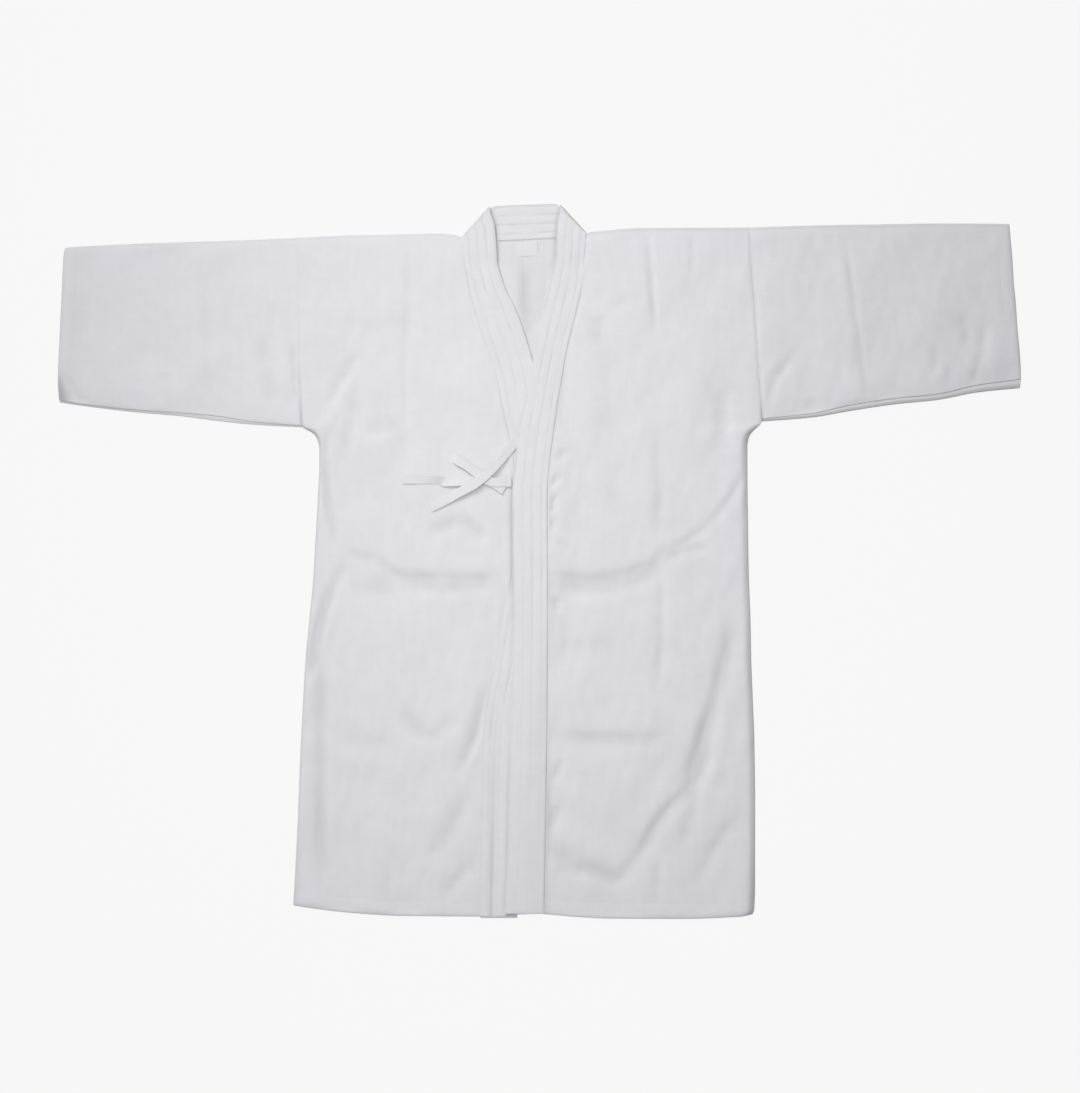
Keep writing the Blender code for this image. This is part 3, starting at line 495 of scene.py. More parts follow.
def unevenness(x, y, seed, shortest=16.0, longest=80.0, waves=30):
    """Soft irregular waves of about one millimetre, the same each time."""
    chance = np.random.default_rng(seed)
    x, y = np.broadcast_arrays(x, y)
    total = np.zeros(x.shape)
    for _ in range(waves):
        length = chance.uniform(shortest, longest)
        angle = chance.uniform(0, pi)
        phase = chance.uniform(0, 2 * pi)
        total += length / longest * np.sin(2 * pi * (x * cos(angle) + y * sin(angle)) / length + phase)
    return total / waves ** 0.5


def spaced(start, end, step, near_start, near_end, kept=()):
    """Places from start to end: set steps near both ends, an even step between, and the kept ones."""
    away = 1.0 if end > start else -1.0
    first = start + away * np.array(near_start)
    last = end - away * np.array(near_end)[::-1]
    count = max(1, int(round(abs(last[0] - first[-1]) / step)))
    middle = np.linspace(first[-1], last[0], count + 1)[1:-1]
    if len(kept):
        kept = np.array(kept, float)
        middle = np.array([m for m in middle if np.abs(kept - m).min() > 0.6 * step])
        middle = np.concatenate((middle, kept))
    return np.array(sorted(np.concatenate((first, middle, last)), reverse=away < 0))


def overlap_lift(x, y):
    """Rise of the upper front and its band where they lie on the lower front's band."""
    edge = follow(BAND_EDGES["right"], y, 2) + OVERLAP_MARGIN
    low, high = OVERLAP_TOP_Y
    return BAND_LIFT * ease((edge + OVERLAP_RAMP - x) / OVERLAP_RAMP) * ease((high - y) / (high - low))


def pressed(x, y):
    """How far the lower front and its band are pressed down along the upper band's free edge."""
    away = np.maximum(0.0, follow(BAND_EDGES["left"], y, 2) - x)
    place, width, share = PRESSED_RIDGE
    return follow(PRESSED, y) * (bell(away, PRESSED_REACH) - share * bell(away - place, width))


def pressed_shade(x, y, layer):
    """Shade in the pressed line."""
    return PRESSED_SHADE[layer] * np.clip(pressed(x, y), 0.0, PRESSED_FULL)


def seam_shade(side, x, y):
    """Shade on a front along the upper band: beside its seam, or below its free edge."""
    table = SEAM_SHADE[side]
    shade = follow(table, y, 2) * bell(x - follow(BAND_EDGES[side], y, 1), follow(table, y, 1))
    return shade if side == "left" else np.maximum(shade, pressed_shade(x, y, "front"))


def crumple(x, y, seed, sizes):
    """Soft broad waves with finer ones among them, longer down the cloth than across it."""
    broad = unevenness(x, y, seed, 30.0, 130.0)
    fine = unevenness(x, 0.45 * y, seed + 1, 7.0, 22.0)
    return sizes.unevenness / MM * broad + sizes.fine_unevenness / MM * fine


def bend_rows(side, x, y):
    """Place of a level row at x, bent to the hem and to the shoulder fold."""
    to_hem = ease((y - HEM_BEND[0]) / (HEM_BEND[1] - HEM_BEND[0]))
    to_fold = ease((y - SHOULDER_BEND[0]) / (SHOULDER_BEND[1] - SHOULDER_BEND[0]))
    return (y + to_hem * (follow(HEM_LINE[side], x) - HEM_Y)
            + to_fold * (follow(SHOULDER_FOLD[side], x) - SHOULDER_Y))


def side_x(side, y):
    """x of the outer edge on a row, once the row is bent."""
    return follow(SIDE_EDGE[side], bend_rows(side, follow(SIDE_EDGE[side], y), y))


def groove(distance, depth):
    """Dimple of a stitched row."""
    return depth * bell(distance, GROOVE_WIDTH)


def turned_up(distance, extra):
    """Extra thickness where the cloth is turned up; the distance is measured in from the stitches."""
    return extra * ease((TURN_START - distance) / TURN_RUN)


def armhole_keep(side, y):
    """Share of the loft that is left in the armhole seam; the right one is flat along its upper part."""
    flat = ease((y - ARMHOLE_FLAT_Y[0]) / (ARMHOLE_FLAT_Y[1] - ARMHOLE_FLAT_Y[0])) if side == "right" else 0.0
    return mix(ARMHOLE_KEEP[side], 1.0, flat)


def front_height(side, x, y, sizes, folds=None):
    """Middle of a front's cloth above the surface."""
    edge = np.abs(x - follow(SIDE_EDGE[side], y))
    seam = np.abs(x - follow(BAND_EDGES[side], y, 1))
    hem = y - follow(HEM_LINE[side], x)
    shoulder = follow(SHOULDER_FOLD[side], x) - y
    above = ease((y - UNDERARM_Y) / UNDERARM_BLEND + 0.5)
    loft = mix(LOFT, mix(LOFT_SIDE[side], LOFT, above), bell(edge, LOFT_SIDE_REACH))
    fall = follow(FALL, edge / SIDE_ROLL[side])
    loft = loft * mix(fall, mix(armhole_keep(side, y), 1.0, dip(edge, ARMHOLE_DIP)), above)
    loft = loft * mix(BAND_SEAM_KEEP[side], 1.0, dip(seam, BAND_SEAM_DIP[side]))
    loft = loft * mix(HEM_KEEP, 1.0, roll(hem, HEM_ROLL)) * roll(shoulder, SHOULDER_ROLL)
    fade = ease(np.minimum(np.minimum(edge, seam), hem) / FOLD_FADE) * ease(shoulder / SHOULDER_FADE)
    folds = fold_field(BODY_FOLDS, x, y) if folds is None else folds
    waves = sizes.fold_depth * folds + crumple(x, y, BODY_SEED, sizes)
    change = overlap_lift(x, y) if side == "left" else -pressed(x, y)
    return FRONT_Z + change + np.maximum(0.0, loft + waves * fade) - groove(hem - HEM_WIDTH, HEM_GROOVE)


def edge_shade(distance, reach=1.8):
    """Painted shade at an outer edge: 1 at the edge, down to 0 a few millimetres in."""
    return bell(np.maximum(distance, 0.0), reach)


# Shade under the shoulder fold and the top fold of a sleeve: strength and reach
TOP_SHADE = {"right": (0.9, 3.6), "left": (1.7, 4.6)}
# How much stronger the shade is in the armhole seam at the underarm, and beside the underarm curve
UNDERARM_SHADE, UNDERARM_CURVE_SHADE = 1.6, 1.2
# Place of both, above and below the underarm, and their reach
UNDERARM_SPOTS, UNDERARM_REACH = (12.0, -10.0), 20.0
# Shade at the side of each half: strength and reach, and how much stronger at its low corner
SIDE_SHADE = {"right": (2.0, 3.2, 0.1), "left": (1.6, 5.5, 1.4)}
# Where the side's shade starts to widen towards the hem, over what height, and by what share
LOW_SIDE_Y, LOW_SIDE_RUN, LOW_SIDE_WIDER, LOW_SIDE_DARKER = -350.0, 90.0, 0.6, 0.7
HEM_SHADE = 0.3
# Shade in the armhole seam, and its reach
ARMHOLE_SHADE, ARMHOLE_REACH = 0.9, 2.3
# Shade on the inside of the back, in the neck opening. Crease: strength, rise at which it is full, place
# beside the centre, reach. All over: strength, y where it starts, run. Under the band: the same and a reach
NECK_CREASE_SHADE = (1.3, 1.9, 1.0, 7.5)
NECK_SHADE = (0.4, 240.0, 40.0)
UNDER_BAND_SHADE = (1.8, 368.0, 24.0, 3.5)


def top_shade(side, distance):
    """Shade at a distance below a shoulder fold or the top fold of a sleeve."""
    strength, reach = TOP_SHADE[side]
    return strength * edge_shade(distance, reach)


def side_distance(side, x, y):
    """Distance of a place to the outer edge of a body half, measured square to the edge."""
    slope = (follow(SIDE_EDGE[side], y + 1) - follow(SIDE_EDGE[side], y - 1)) / 2
    return np.abs(x - follow(SIDE_EDGE[side], y)) / np.hypot(1, slope)


def armhole_seam_shade(side, x, y):
    """Painted shade in an armhole seam: 1 in it, fading a little beside it and where the seam lies flat."""
    low_end = 1 + UNDERARM_SHADE * bell(y - UNDERARM_Y - UNDERARM_SPOTS[0], UNDERARM_REACH)
    sewn_down = (1 - armhole_keep(side, y)) / (1 - ARMHOLE_KEEP[side])
    return ARMHOLE_SHADE * low_end * sewn_down * edge_shade(side_distance(side, x, y), ARMHOLE_REACH)


def body_shade(side, x, y, folds):
    """Shade of a front: in its creases, along its outline, in the armhole and beside the band."""
    low = ease((LOW_SIDE_Y - y) / LOW_SIDE_RUN)
    strength, reach, corner = SIDE_SHADE[side]
    to_side = np.where(y > UNDERARM_Y + 3, EDGE_STEPS[-1], side_distance(side, x, y))
    at_side = strength * (1 + LOW_SIDE_DARKER * corner * low)
    at_side = at_side * edge_shade(to_side, reach * (1 + LOW_SIDE_WIDER * low))
    at_hem = HEM_SHADE * edge_shade(y - follow(HEM_LINE[side], x))
    outline = np.maximum.reduce((at_side, at_hem, top_shade(side, follow(SHOULDER_FOLD[side], x) - y)))
    outline = outline * (1 + UNDERARM_CURVE_SHADE * bell(y - UNDERARM_Y - UNDERARM_SPOTS[1], UNDERARM_REACH))
    in_armhole = np.where(y > UNDERARM_Y, armhole_seam_shade(side, x, y), 0.0)
    return np.maximum.reduce((crease_mask(folds), outline, in_armhole, seam_shade(side, x, y)))


def neck_shade(x, y):
    """Shade on the inside of the back, in the neck opening: in its crease and under the left band."""
    strength, full, beside_centre, reach = NECK_CREASE_SHADE
    in_crease = strength * ease(follow(NECK_CREASE, y) / full) * bell(x - CENTRE_X - beside_centre, reach)
    strength, start, run = NECK_SHADE
    all_over = strength * ease((y - start) / run)
    strength, start, run, reach = UNDER_BAND_SHADE
    under_band = strength * ease((y - start) / run) * bell(x - follow(BAND_EDGES["left"], y, 2), reach)
    return in_crease + all_over + under_band


def outward_of(middle, up):
    """Unit directions across a grid of points; up says which of the two sides is meant."""
    along = np.gradient(middle, axis=0)
    across = np.gradient(middle, axis=1)
    normal = np.cross(along, across)
    normal /= np.maximum(np.linalg.norm(normal, axis=2, keepdims=True), 1e-9)
    turned = (normal * up).sum(axis=2, keepdims=True) < 0
    return np.where(turned, -normal, normal)


def soft_rim(thick, share=CUT_END):
    """Thins a cloth towards the rims of its grid, so that its cut or folded edge is rounded."""
    thick = thick.copy()
    for depth, part in enumerate(share):
        for line in (thick[depth, :], thick[-1 - depth, :], thick[:, depth], thick[:, -1 - depth]):
            np.minimum(line, line.max() * part, out=line)
    return thick


def thin_ends(thick, shares, ends=(0, -1)):
    """Thins the last rows at the ends named, 0 for the first row's and -1 for the last row's."""
    for depth, share in enumerate(shares):
        for end in ends:
            thick[depth if end == 0 else end - depth] *= share


def place_object(name, data):
    """New object at the origin, linked to the scene."""
    made = bpy.data.objects.new(name, data)
    bpy.context.scene.collection.objects.link(made)
    return made


def cloth_shell(name, middle, outward, thick, uv, material, kept=None, ring=False, painted_shade=None, inner=0.0):
    """One closed shell of cloth round a grid of middle points, with UVs in metres along the threads."""
    rows, columns = middle.shape[:2]
    across = columns if ring else columns - 1
    if kept is None:
        kept = np.ones((rows - 1, across), bool)
    i, j = np.nonzero(kept)
    k = (j + 1) % columns
    corners = np.stack((i * columns + j, i * columns + k, (i + 1) * columns + k, (i + 1) * columns + j), 1)
    # Column of each corner before it wraps, for the UV map
    flat_j = np.stack((j, j + 1, j + 1, j), 1)
    flat_i = np.stack((i, i, i + 1, i + 1), 1)
    half = (np.broadcast_to(thick, (rows, columns)) / 2)[..., None]
    skins = np.concatenate([(middle + hand * outward * half).reshape(-1, 3) for hand in (1, -1)])
    a, b, d = (middle.reshape(-1, 3)[corners[:, n]] for n in (0, 1, 3))
    facing = (np.cross(b - a, d - a) * outward.reshape(-1, 3)[corners[:, 0]]).sum()
    if facing < 0:
        corners, flat_i, flat_j = corners[:, ::-1], flat_i[:, ::-1], flat_j[:, ::-1]
    total = rows * columns
    starts, ends = corners.ravel(), np.roll(corners, -1, axis=1).ravel()
    rim = ~np.isin(starts * total + ends, ends * total + starts)
    s, e = starts[rim], ends[rim]
    corner_uv = uv[flat_i, flat_j]
    uv_start = corner_uv.reshape(-1, 2)[rim]
    uv_end = np.roll(corner_uv, -1, axis=1).reshape(-1, 2)[rim]
    faces = np.concatenate((corners, corners[:, ::-1] + total, np.stack((e, s, s + total, e + total), 1)))
    face_uv = np.concatenate((corner_uv, corner_uv[:, ::-1],
                              np.stack((uv_end, uv_start, uv_start, uv_end), 1)))
    used, index = np.unique(faces, return_inverse=True)
    mesh = bpy.data.meshes.new(name)
    mesh.from_pydata((skins[used] * MM).tolist(), [], index.reshape(-1, 4).tolist())
    mesh.uv_layers.new(name="threads").data.foreach_set("uv", face_uv.ravel() * MM)
    # Painted shade at each point, which darkens the colour in creases, along edges and beside seams; the
    # inner skin takes the inner shade on top of it
    painted_shade = np.zeros((rows, columns)) if painted_shade is None else np.broadcast_to(painted_shade, (rows, columns))
    values = np.concatenate((painted_shade.ravel(), (painted_shade + inner).ravel()))
    mesh.attributes.new("painted_shade", "FLOAT", "POINT").data.foreach_set("value", values[used])
    mesh.shade_smooth()
    mesh.set_sharp_from_angle(angle=SHARP)
    mesh.materials.append(material)
    return place_object(name, mesh)


def crease_mask(folds):
    """Painted shade in creases: 0 on a smooth or raised cloth to 1 at the bottom of a deep trough."""
    return np.clip(-folds / CREASE_FULL, 0.0, 1.0)


def wear(piece, slot, *nodes):
    """Makes a finished piece ride with the jacket and stand for its nodes; the slot is not used."""
    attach(piece, "root")
    if nodes:
        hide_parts(*nodes)
    return piece


# Runs of points and directions that the pieces mark for the stitching, in millimetres
STITCH_ROWS = {}
# Finish slot named for each piece's stitches; it is passed on but not used
STITCH_SLOTS = {"body_stitches": "body_cotton", "sleeve_stitches": "body_cotton",
                "band_stitches": "band_cotton", "tie_stitches": "tie_tape", "label_stitches": "label_cloth"}


def remember_row(name, points, outward):
    """Keeps a run of points and directions for the stitching."""
    STITCH_ROWS.setdefault(name, []).append((np.array(points), np.array(outward)))


# Least radius of the curl at the side seam, as a share of the whole, and its thickness for each radius
CURL_LEAST, CURL_THICK = 0.05, 1.7
# How the creases of the back fade: start above the hem and run there, run at the side and at the shoulder
BACK_HEM_CLEAR, BACK_HEM_FADE, BACK_SIDE_FADE, BACK_TOP_FADE = 10.0, 30.0, 20.0, 30.0
# Shape across the two creases in the neck: run up from the centre, run down to their outer end, the end,
# and the run over which they fade at the right band
NECK_CREASE_UP, NECK_CREASE_DOWN, NECK_CREASE_END, NECK_CREASE_FADE = 11.0, 14.0, 30.0, 10.0
# Lift of the stitches on the underside, which keeps them off the surface
BODY_UNDER_LIFT, SLEEVE_UNDER_LIFT = 0.3, 0.32
# Columns at each end of a hem or cuff that have no stitches, one fewer beside the lip of a sleeve
STITCH_CLEAR = 4
# The waves of a sleeve's back layer fade over one part in this many at its top and low edges
UNDER_FADE = 6


def body_front(side, sizes, rows, curl):
    """Front of one half, its directions and its shade; columns run from the outer edge to the band's seam."""
    inward = INWARD[side]
    near = side_x(side, rows)[:, None] + inward * (np.array(EDGE_STEPS) + FOLD_INSET * curl[:, None])
    seam = follow(BAND_EDGES[side], rows, 1) - inward * SEAM_GAP
    far = seam[:, None] - inward * np.array(SEAM_STEPS)[::-1]
    between = mix(near[:, -1:], far[:, :1], np.linspace(0, 1, MIDDLE_COLUMNS + 2)[1:-1])
    x = np.hstack((near, between, far))
    y = bend_rows(side, x, rows[:, None])
    folds = fold_field(BODY_FOLDS, x, y)
    front = np.stack((x, y, front_height(side, x, y, sizes, folds)), 2)
    return front, outward_of(front, UP), body_shade(side, x, y, folds)


def side_curl(side, rows, curl, y, cloth):
    """Cloth that curls round the side seam, from the back up to the front, and its thickness."""
    inward = INWARD[side]
    turns = np.linspace(-pi / 2, pi / 2, CURL_COLUMNS + 1)[:-1]
    radius = FOLD_RADIUS * np.maximum(curl, CURL_LEAST)[:, None]
    x = side_x(side, rows)[:, None] + inward * (FOLD_INSET * curl[:, None] - radius * np.cos(turns))
    z = FRONT_Z - radius + radius * np.sin(turns)
    points = np.stack(np.broadcast_arrays(x, y[:, None], z), 2)
    out = np.broadcast_to(np.stack((-inward * np.cos(turns), 0 * turns, np.sin(turns)), 1), points.shape)
    return points, out, np.minimum(cloth, CURL_THICK * radius) * np.ones(CURL_COLUMNS)


def back_rise(x, y, rows):
    """How far the back's creases, and the two beside its seam in the neck, lift it off the surface."""
    rise = np.maximum(0.0, fold_field(BACK_FOLDS, x, y))
    rise = rise * ease((rows - HEM_Y - BACK_HEM_CLEAR) / BACK_HEM_FADE)
    rise = rise * ease(np.abs(x - x[:, :1]) / BACK_SIDE_FADE) * ease((SHOULDER_Y - rows) / BACK_TOP_FADE)
    to_centre = np.abs(x - CENTRE_X)
    in_neck = follow(NECK_CREASE, y) * ease(to_centre / NECK_CREASE_UP)
    in_neck = in_neck * ease((NECK_CREASE_END - to_centre) / NECK_CREASE_DOWN)
    return rise + in_neck * ease((x - follow(BAND_EDGES["right"], y, 2)) / NECK_CREASE_FADE)


def body_back(side, sizes, top):
    """Back of one half, from the hem up to the shoulder fold; its columns go on to the centre back seam."""
    inward = INWARD[side]
    centre = CENTRE_X - inward * GAP / 2
    count = int(abs(centre - top[-1]) / (BACK_CELLS * sizes.cell / MM))
    across = np.concatenate((top, mix(top[-1], centre, np.linspace(0, 1, count + 1)[1:])))
    shares = (across - top[0]) / (centre - top[0])
    rows = spaced(HEM_Y + 2, SHOULDER_Y - FOLD_INSET, BACK_ROW_STEP, EDGE_STEPS, EDGE_STEPS[:5], BACK_ROWS)
    inset = (FOLD_INSET + GAP) * ease((UNDERARM_Y - rows) / UNDERARM_RUN)
    x = mix((side_x(side, rows) + inward * inset)[:, None], centre, shares)
    level = rows[:, None]
    y = bend_rows(side, x, level)
    # Below the neck the rows bend to the neck's seam
    low, high = SHOULDER_BEND[0], SHOULDER_Y - FOLD_INSET
    toward = np.clip((level - low) / (high - low), 0, 1)
    bent = np.where(level > low, mix(level, follow(NECK_LINE, x) - GAP, toward), y)
    y = np.where(np.arange(len(across)) >= len(top), bent, y)
    back = np.stack((x, y, sizes.cloth_thickness / MM / 2 + back_rise(x, y, level)), 2)
    out = outward_of(back, DOWN)
    out[-1] = DOWN
    return rows, back, out


def shoulder_fold(edge, low, high):
    """Cloth that bends over the shoulder, from the back's last row to the front's height along it."""
    angles = np.linspace(-pi / 2, pi / 2, BEND_STEPS + 1)[1:-1]
    arms = np.stack((0 * angles, np.cos(angles), np.sin(angles)), 1)
    fold = [np.stack((edge[:, 0], edge[:, 1] + FOLD_RADIUS * out, mix(low, high, (1 + up) / 2)), 1)
            for _, out, up in arms]
    return np.array(fold), np.repeat(arms[:, None, :], len(edge), axis=1)


def body_half(side, sizes, material):
    """Front and back of one half in one length, folded over the shoulder and round the side seam."""
    cloth = sizes.cloth_thickness / MM
    stitches_y = HEM_Y + HEM_WIDTH
    rows = spaced(SHOULDER_Y - FOLD_INSET, HEM_Y, sizes.cell / MM, EDGE_STEPS, EDGE_STEPS,
                  stitches_y + STITCH_STEPS)
    curl = ease((UNDERARM_Y - rows) / UNDERARM_RUN)
    front, front_out, painted_shade = body_front(side, sizes, rows, curl)
    thick = cloth + turned_up(rows - stitches_y, HEM_EXTRA)[:, None] * np.ones(front.shape[1])
    top = front[0, :, 0]
    back_rows, back, back_out = body_back(side, sizes, top)
    extra = back.shape[1] - len(top)
    ridge = np.concatenate((front[0, :, 2], np.full(extra, FRONT_Z)))
    fold, fold_out = shoulder_fold(back[-1], cloth / 2, ridge)

    hem, back_hem = (int(np.argmin(np.abs(levels - stitches_y))) for levels in (rows, back_rows))
    inside = slice(STITCH_CLEAR, -STITCH_CLEAR)
    lift = front_out[hem, inside] * thick[hem, inside, None] / 2
    remember_row("body_stitches", front[hem, inside] + lift, front_out[hem, inside])
    lift = (0, 0, BODY_UNDER_LIFT - cloth / 2)
    remember_row("body_stitches", back[back_hem, inside] + lift, back_out[back_hem, inside])

    curl_points, curl_out, curl_thick = side_curl(side, rows, curl, front[:, 0, 1], cloth)
    front = np.concatenate((curl_points, front), axis=1)
    front_out = np.concatenate((curl_out, front_out), axis=1)
    front_out[0, CURL_COLUMNS:] = UP
    thick = np.hstack((curl_thick, thick))
    painted_shade = np.hstack((np.ones(curl_thick.shape), painted_shade))
    thin_ends(thick, CUT_END, (-1,))
    thin_ends(thick.T, FOLDED_END, (-1,))
    thick[rows > UNDERARM_Y, CURL_COLUMNS] *= FOLDED_END[0]
    back_thick = np.full(back.shape[:2], cloth)
    thin_ends(back_thick, CUT_END, (0,))

    # All rows with all columns: the cells that don't exist are left out by the mask
    def widened(back_part, fold_part, front_part):
        upper = [np.hstack([part[:, :1]] * CURL_COLUMNS + [part]) for part in (back_part, fold_part)]
        return np.concatenate(upper + [np.hstack([front_part] + [front_part[:, -1:]] * extra)])

    middle = widened(back, fold, front)
    flat = fold.shape[:2]
    all_thick = widened(back_thick, np.full(flat, cloth), thick)
    all_painted_shade = widened(np.zeros(back_thick.shape), np.ones(flat), painted_shade)
    inner = widened(neck_shade(back[..., 0], back[..., 1]), np.zeros(flat), np.zeros(painted_shade.shape))
    kept = np.zeros((len(middle) - 1, middle.shape[1] - 1), bool)
    fold_end = len(back) + len(fold)
    kept[:len(back) - 1, CURL_COLUMNS:] = True
    kept[len(back) - 1:, CURL_COLUMNS:CURL_COLUMNS + len(top) - 1] = True
    kept[fold_end:, :CURL_COLUMNS] = ((curl[:-1] > 0) & (curl[1:] > 0))[:, None]
    # Threads run straight down each half, from the back hem over the shoulder to the front hem
    v = SHOULDER_Y - middle[..., 1]
    v[:fold_end] *= -1
    piece = cloth_shell("jacket_body_" + side, middle, widened(back_out, fold_out, front_out), all_thick,
                        np.stack((middle[..., 0], v), 2), material, kept=kept, painted_shade=all_painted_shade, inner=inner)
    return wear(piece, "body_cotton", "body_" + side)


def sleeve_points(side, along, y, z):
    """Grid of points from rows of y and z; x runs from the armhole seam to the cuff."""
    seam_x = follow(SIDE_EDGE[side], y) - INWARD[side] * SEAM_GAP
    x = mix(seam_x, follow(CUFF_EDGE[side], y), along[:, None])
    return np.stack(np.broadcast_arrays(x, y, z), 2)


def sleeve_front(side, sizes, along, top, lip):
    """Front layer of a sleeve, from the top fold down to its low lip, and its shade."""
    parts = spaced(0, SLEEVE_DEPTH, SLEEVE_ROW_STEP, EDGE_STEPS, SEAM_STEPS) / SLEEVE_DEPTH
    y = mix(top - FOLD_INSET, lip + FOLD_INSET, parts)
    front = sleeve_points(side, along, y, FRONT_Z)
    x = front[..., 0]
    to_top, to_lip = top - y, y - lip
    to_cuff = np.abs(x - follow(CUFF_EDGE[side], y))
    to_seam = np.abs(x - follow(SIDE_EDGE[side], y) + INWARD[side] * SEAM_GAP)
    loft = LOFT * roll(to_top, SHOULDER_ROLL) * roll(to_lip, LIP_ROLL) * roll(to_cuff, CUFF_ROLL)
    loft = loft * mix(LIP_KEEP, 1.0, ease(to_lip / LIP_RUN))
    loft = loft * mix(armhole_keep(side, y), 1.0, dip(to_seam, ARMHOLE_DIP))
    fade = ease(np.minimum(np.minimum(to_lip, to_cuff), to_seam) / FOLD_FADE) * ease(to_top / SHOULDER_FADE)
    folds = fold_field(SLEEVE_FOLDS, x, y)
    cuff_shade, cuff_reach, lip_shade, lip_reach = SLEEVE_SHADE[side]
    shades = [crease_mask(folds), armhole_seam_shade(side, x, y), top_shade(side, to_top),
              cuff_shade * edge_shade(to_cuff, cuff_reach), lip_shade * edge_shade(to_lip, lip_reach)]
    if side == "right":
        loft = loft * mix(CORNER_KEEP, 1.0, roll(np.hypot(to_cuff, to_lip), CORNER_ROLL))
        up = to_lip / CORNER_SHADE_RUN
        strength, least, further = CORNER_SHADE
        in_corner = strength * bell(to_cuff, least + further * np.clip(1 - up, 0, 1))
        in_corner = in_corner + CORNER_HAZE[0] * bell(to_cuff, CORNER_HAZE[1])
        shades.append(in_corner * np.exp(-up ** 4))
    waves = sizes.fold_depth * folds + crumple(x, y, SLEEVE_SEED, sizes)
    front[..., 2] += np.maximum(0.0, loft + waves * fade) - groove(to_cuff - CUFF_WIDTH, CUFF_GROOVE)
    return front, np.maximum.reduce(shades)


def sleeve(side, sizes, material):
    """Flattened tube from the armhole to the cuff, folded along the top, seamed along its low edge."""
    cloth = sizes.cloth_thickness / MM
    back_z = cloth / 2
    length = abs(float(follow(CUFF_EDGE[side], SLEEVE_LEVEL) - follow(SIDE_EDGE[side], SLEEVE_LEVEL)))
    stitches_at = length - CUFF_WIDTH
    along = spaced(0, length, SLEEVE_COLUMN_STEP, EDGE_STEPS, EDGE_STEPS, stitches_at + STITCH_STEPS) / length
    top, lip, low = (follow(SLEEVE_ROWS[side], along, n)[:, None] for n in (1, 2, 3))
    front, shade = sleeve_front(side, sizes, along, top, lip)

    def ring_part(y, z, out_y, out_z):
        points = sleeve_points(side, along, y, z)
        return points, np.broadcast_to(np.stack((0 * out_y, out_y, out_z), -1), points.shape)

    def bend(edge, hand, turn):
        """Cloth that bends round the top fold, with hand 1, or round the low edge, with hand -1."""
        y = edge + hand * (FOLD_RADIUS * np.cos(turn) - FOLD_INSET)
        z = mix(back_z, FRONT_Z, (1 + np.sin(turn)) / 2)
        return ring_part(y, z, hand * np.cos(turn), np.sin(turn))

    # Front layer from the top fold to the lip, then the low strip, the low edge, the back layer and the fold
    upward = np.linspace(-pi / 2, pi / 2, BEND_STEPS + 1)
    strip_y = mix(lip, low, np.array(LAP_SHARES)) + FOLD_INSET
    lap = ring_part(strip_y, FRONT_Z - np.array(LAP_DROP), np.zeros(len(LAP_DROP)), np.ones(len(LAP_DROP)))
    shares = np.linspace(0, 1, UNDER_ROWS + 2)[1:-1]
    under = sleeve_points(side, along, mix(low + FOLD_INSET, top - FOLD_INSET, shares), back_z)
    waves = np.maximum(0, unevenness(under[..., 0], under[..., 1], UNDER_SEED))
    under[..., 2] += UNDER_WAVE * waves * ease(UNDER_FADE * shares) * ease(UNDER_FADE - UNDER_FADE * shares)
    parts = ((front, outward_of(front, UP)), lap, bend(low, -1, upward[::-1]),
             (under, outward_of(under, DOWN)), bend(top, 1, upward[:-1]))
    middle, outward = (np.concatenate([part[n] for part in parts], axis=1) for n in (0, 1))
    # The ends stay square to the sleeve, so that its seam and its cuff are clean
    for end in (0, -1):
        outward[end, :, 0] = 0
        outward[end] /= np.linalg.norm(outward[end], axis=1, keepdims=True)
    thick = cloth + turned_up(stitches_at - along * length, CUFF_EXTRA)[:, None] * np.ones(middle.shape[1])
    thin_ends(thick, FOLDED_END, (0,))
    thin_ends(thick, CUT_END, (-1,))
    round_tube = np.linalg.norm(np.diff(np.concatenate((middle, middle[:, :1]), axis=1), axis=1), axis=2)
    v = np.concatenate((np.zeros((len(along), 1)), np.cumsum(round_tube, axis=1)), axis=1)
    u = np.broadcast_to((along * length)[:, None], v.shape)
    front_count, lap_shade = front.shape[1], LAP_SHADE[side]
    lap_end = front_count + len(LAP_SHARES)
    low_end = lap_end + BEND_STEPS
    painted_shade = np.ones(middle.shape[:2])
    painted_shade[:, :front_count] = shade
    painted_shade[:, front_count + 1:lap_end] = lap_shade
    painted_shade[:, lap_end:low_end] = lap_shade[-1]
    painted_shade[:, low_end + 1:-BEND_STEPS] = 0.0
    piece = cloth_shell("jacket_sleeve_" + side, middle, outward, thick, np.stack((u, v), 2), material,
                        ring=True, painted_shade=painted_shade)
    # Stitches on both layers, clear of the folds between them
    cuff = int(np.argmin(np.abs(along * length - stitches_at)))
    skin = middle + outward * thick[..., None] / 2
    on_front = slice(STITCH_CLEAR, front_count - STITCH_CLEAR + 1)
    on_back = slice(low_end + STITCH_CLEAR, -BEND_STEPS - STITCH_CLEAR)
    for run, lift in ((on_front, 0.0), (on_back, SLEEVE_UNDER_LIFT)):
        remember_row("sleeve_stitches", skin[cuff, run] + (0, 0, lift), outward[cuff, run])
    return wear(piece, "body_cotton", "sleeve_" + side)


# Edges of the band, each as the thickness left at the edge and the run over which it rounds up, both as
# shares: the seam edge where it is flush and where it rolls down, and the free edge
FLUSH_EDGE, ROLLED_EDGE, FREE_EDGE = (0.96, 0.02), (0.25, 0.085), (0.4, 0.05)


def band_thickness(shares, dimples, seam, thick):
    """Thickness across the band: its two edges, less the dimples of its stitched rows.

    The seam value is 0 where the band's seam edge is flush with the front and 1 where it rolls down to it.
    """
    left, run = (mix(flush, rolled, seam) for flush, rolled in zip(FLUSH_EDGE, ROLLED_EDGE))
    seam_edge = mix(left, 1.0, roll(shares, run))
    left, run = FREE_EDGE
    edge = np.minimum(seam_edge, mix(left, 1.0, roll(1 - shares, run)))
    return edge * thick - dimples


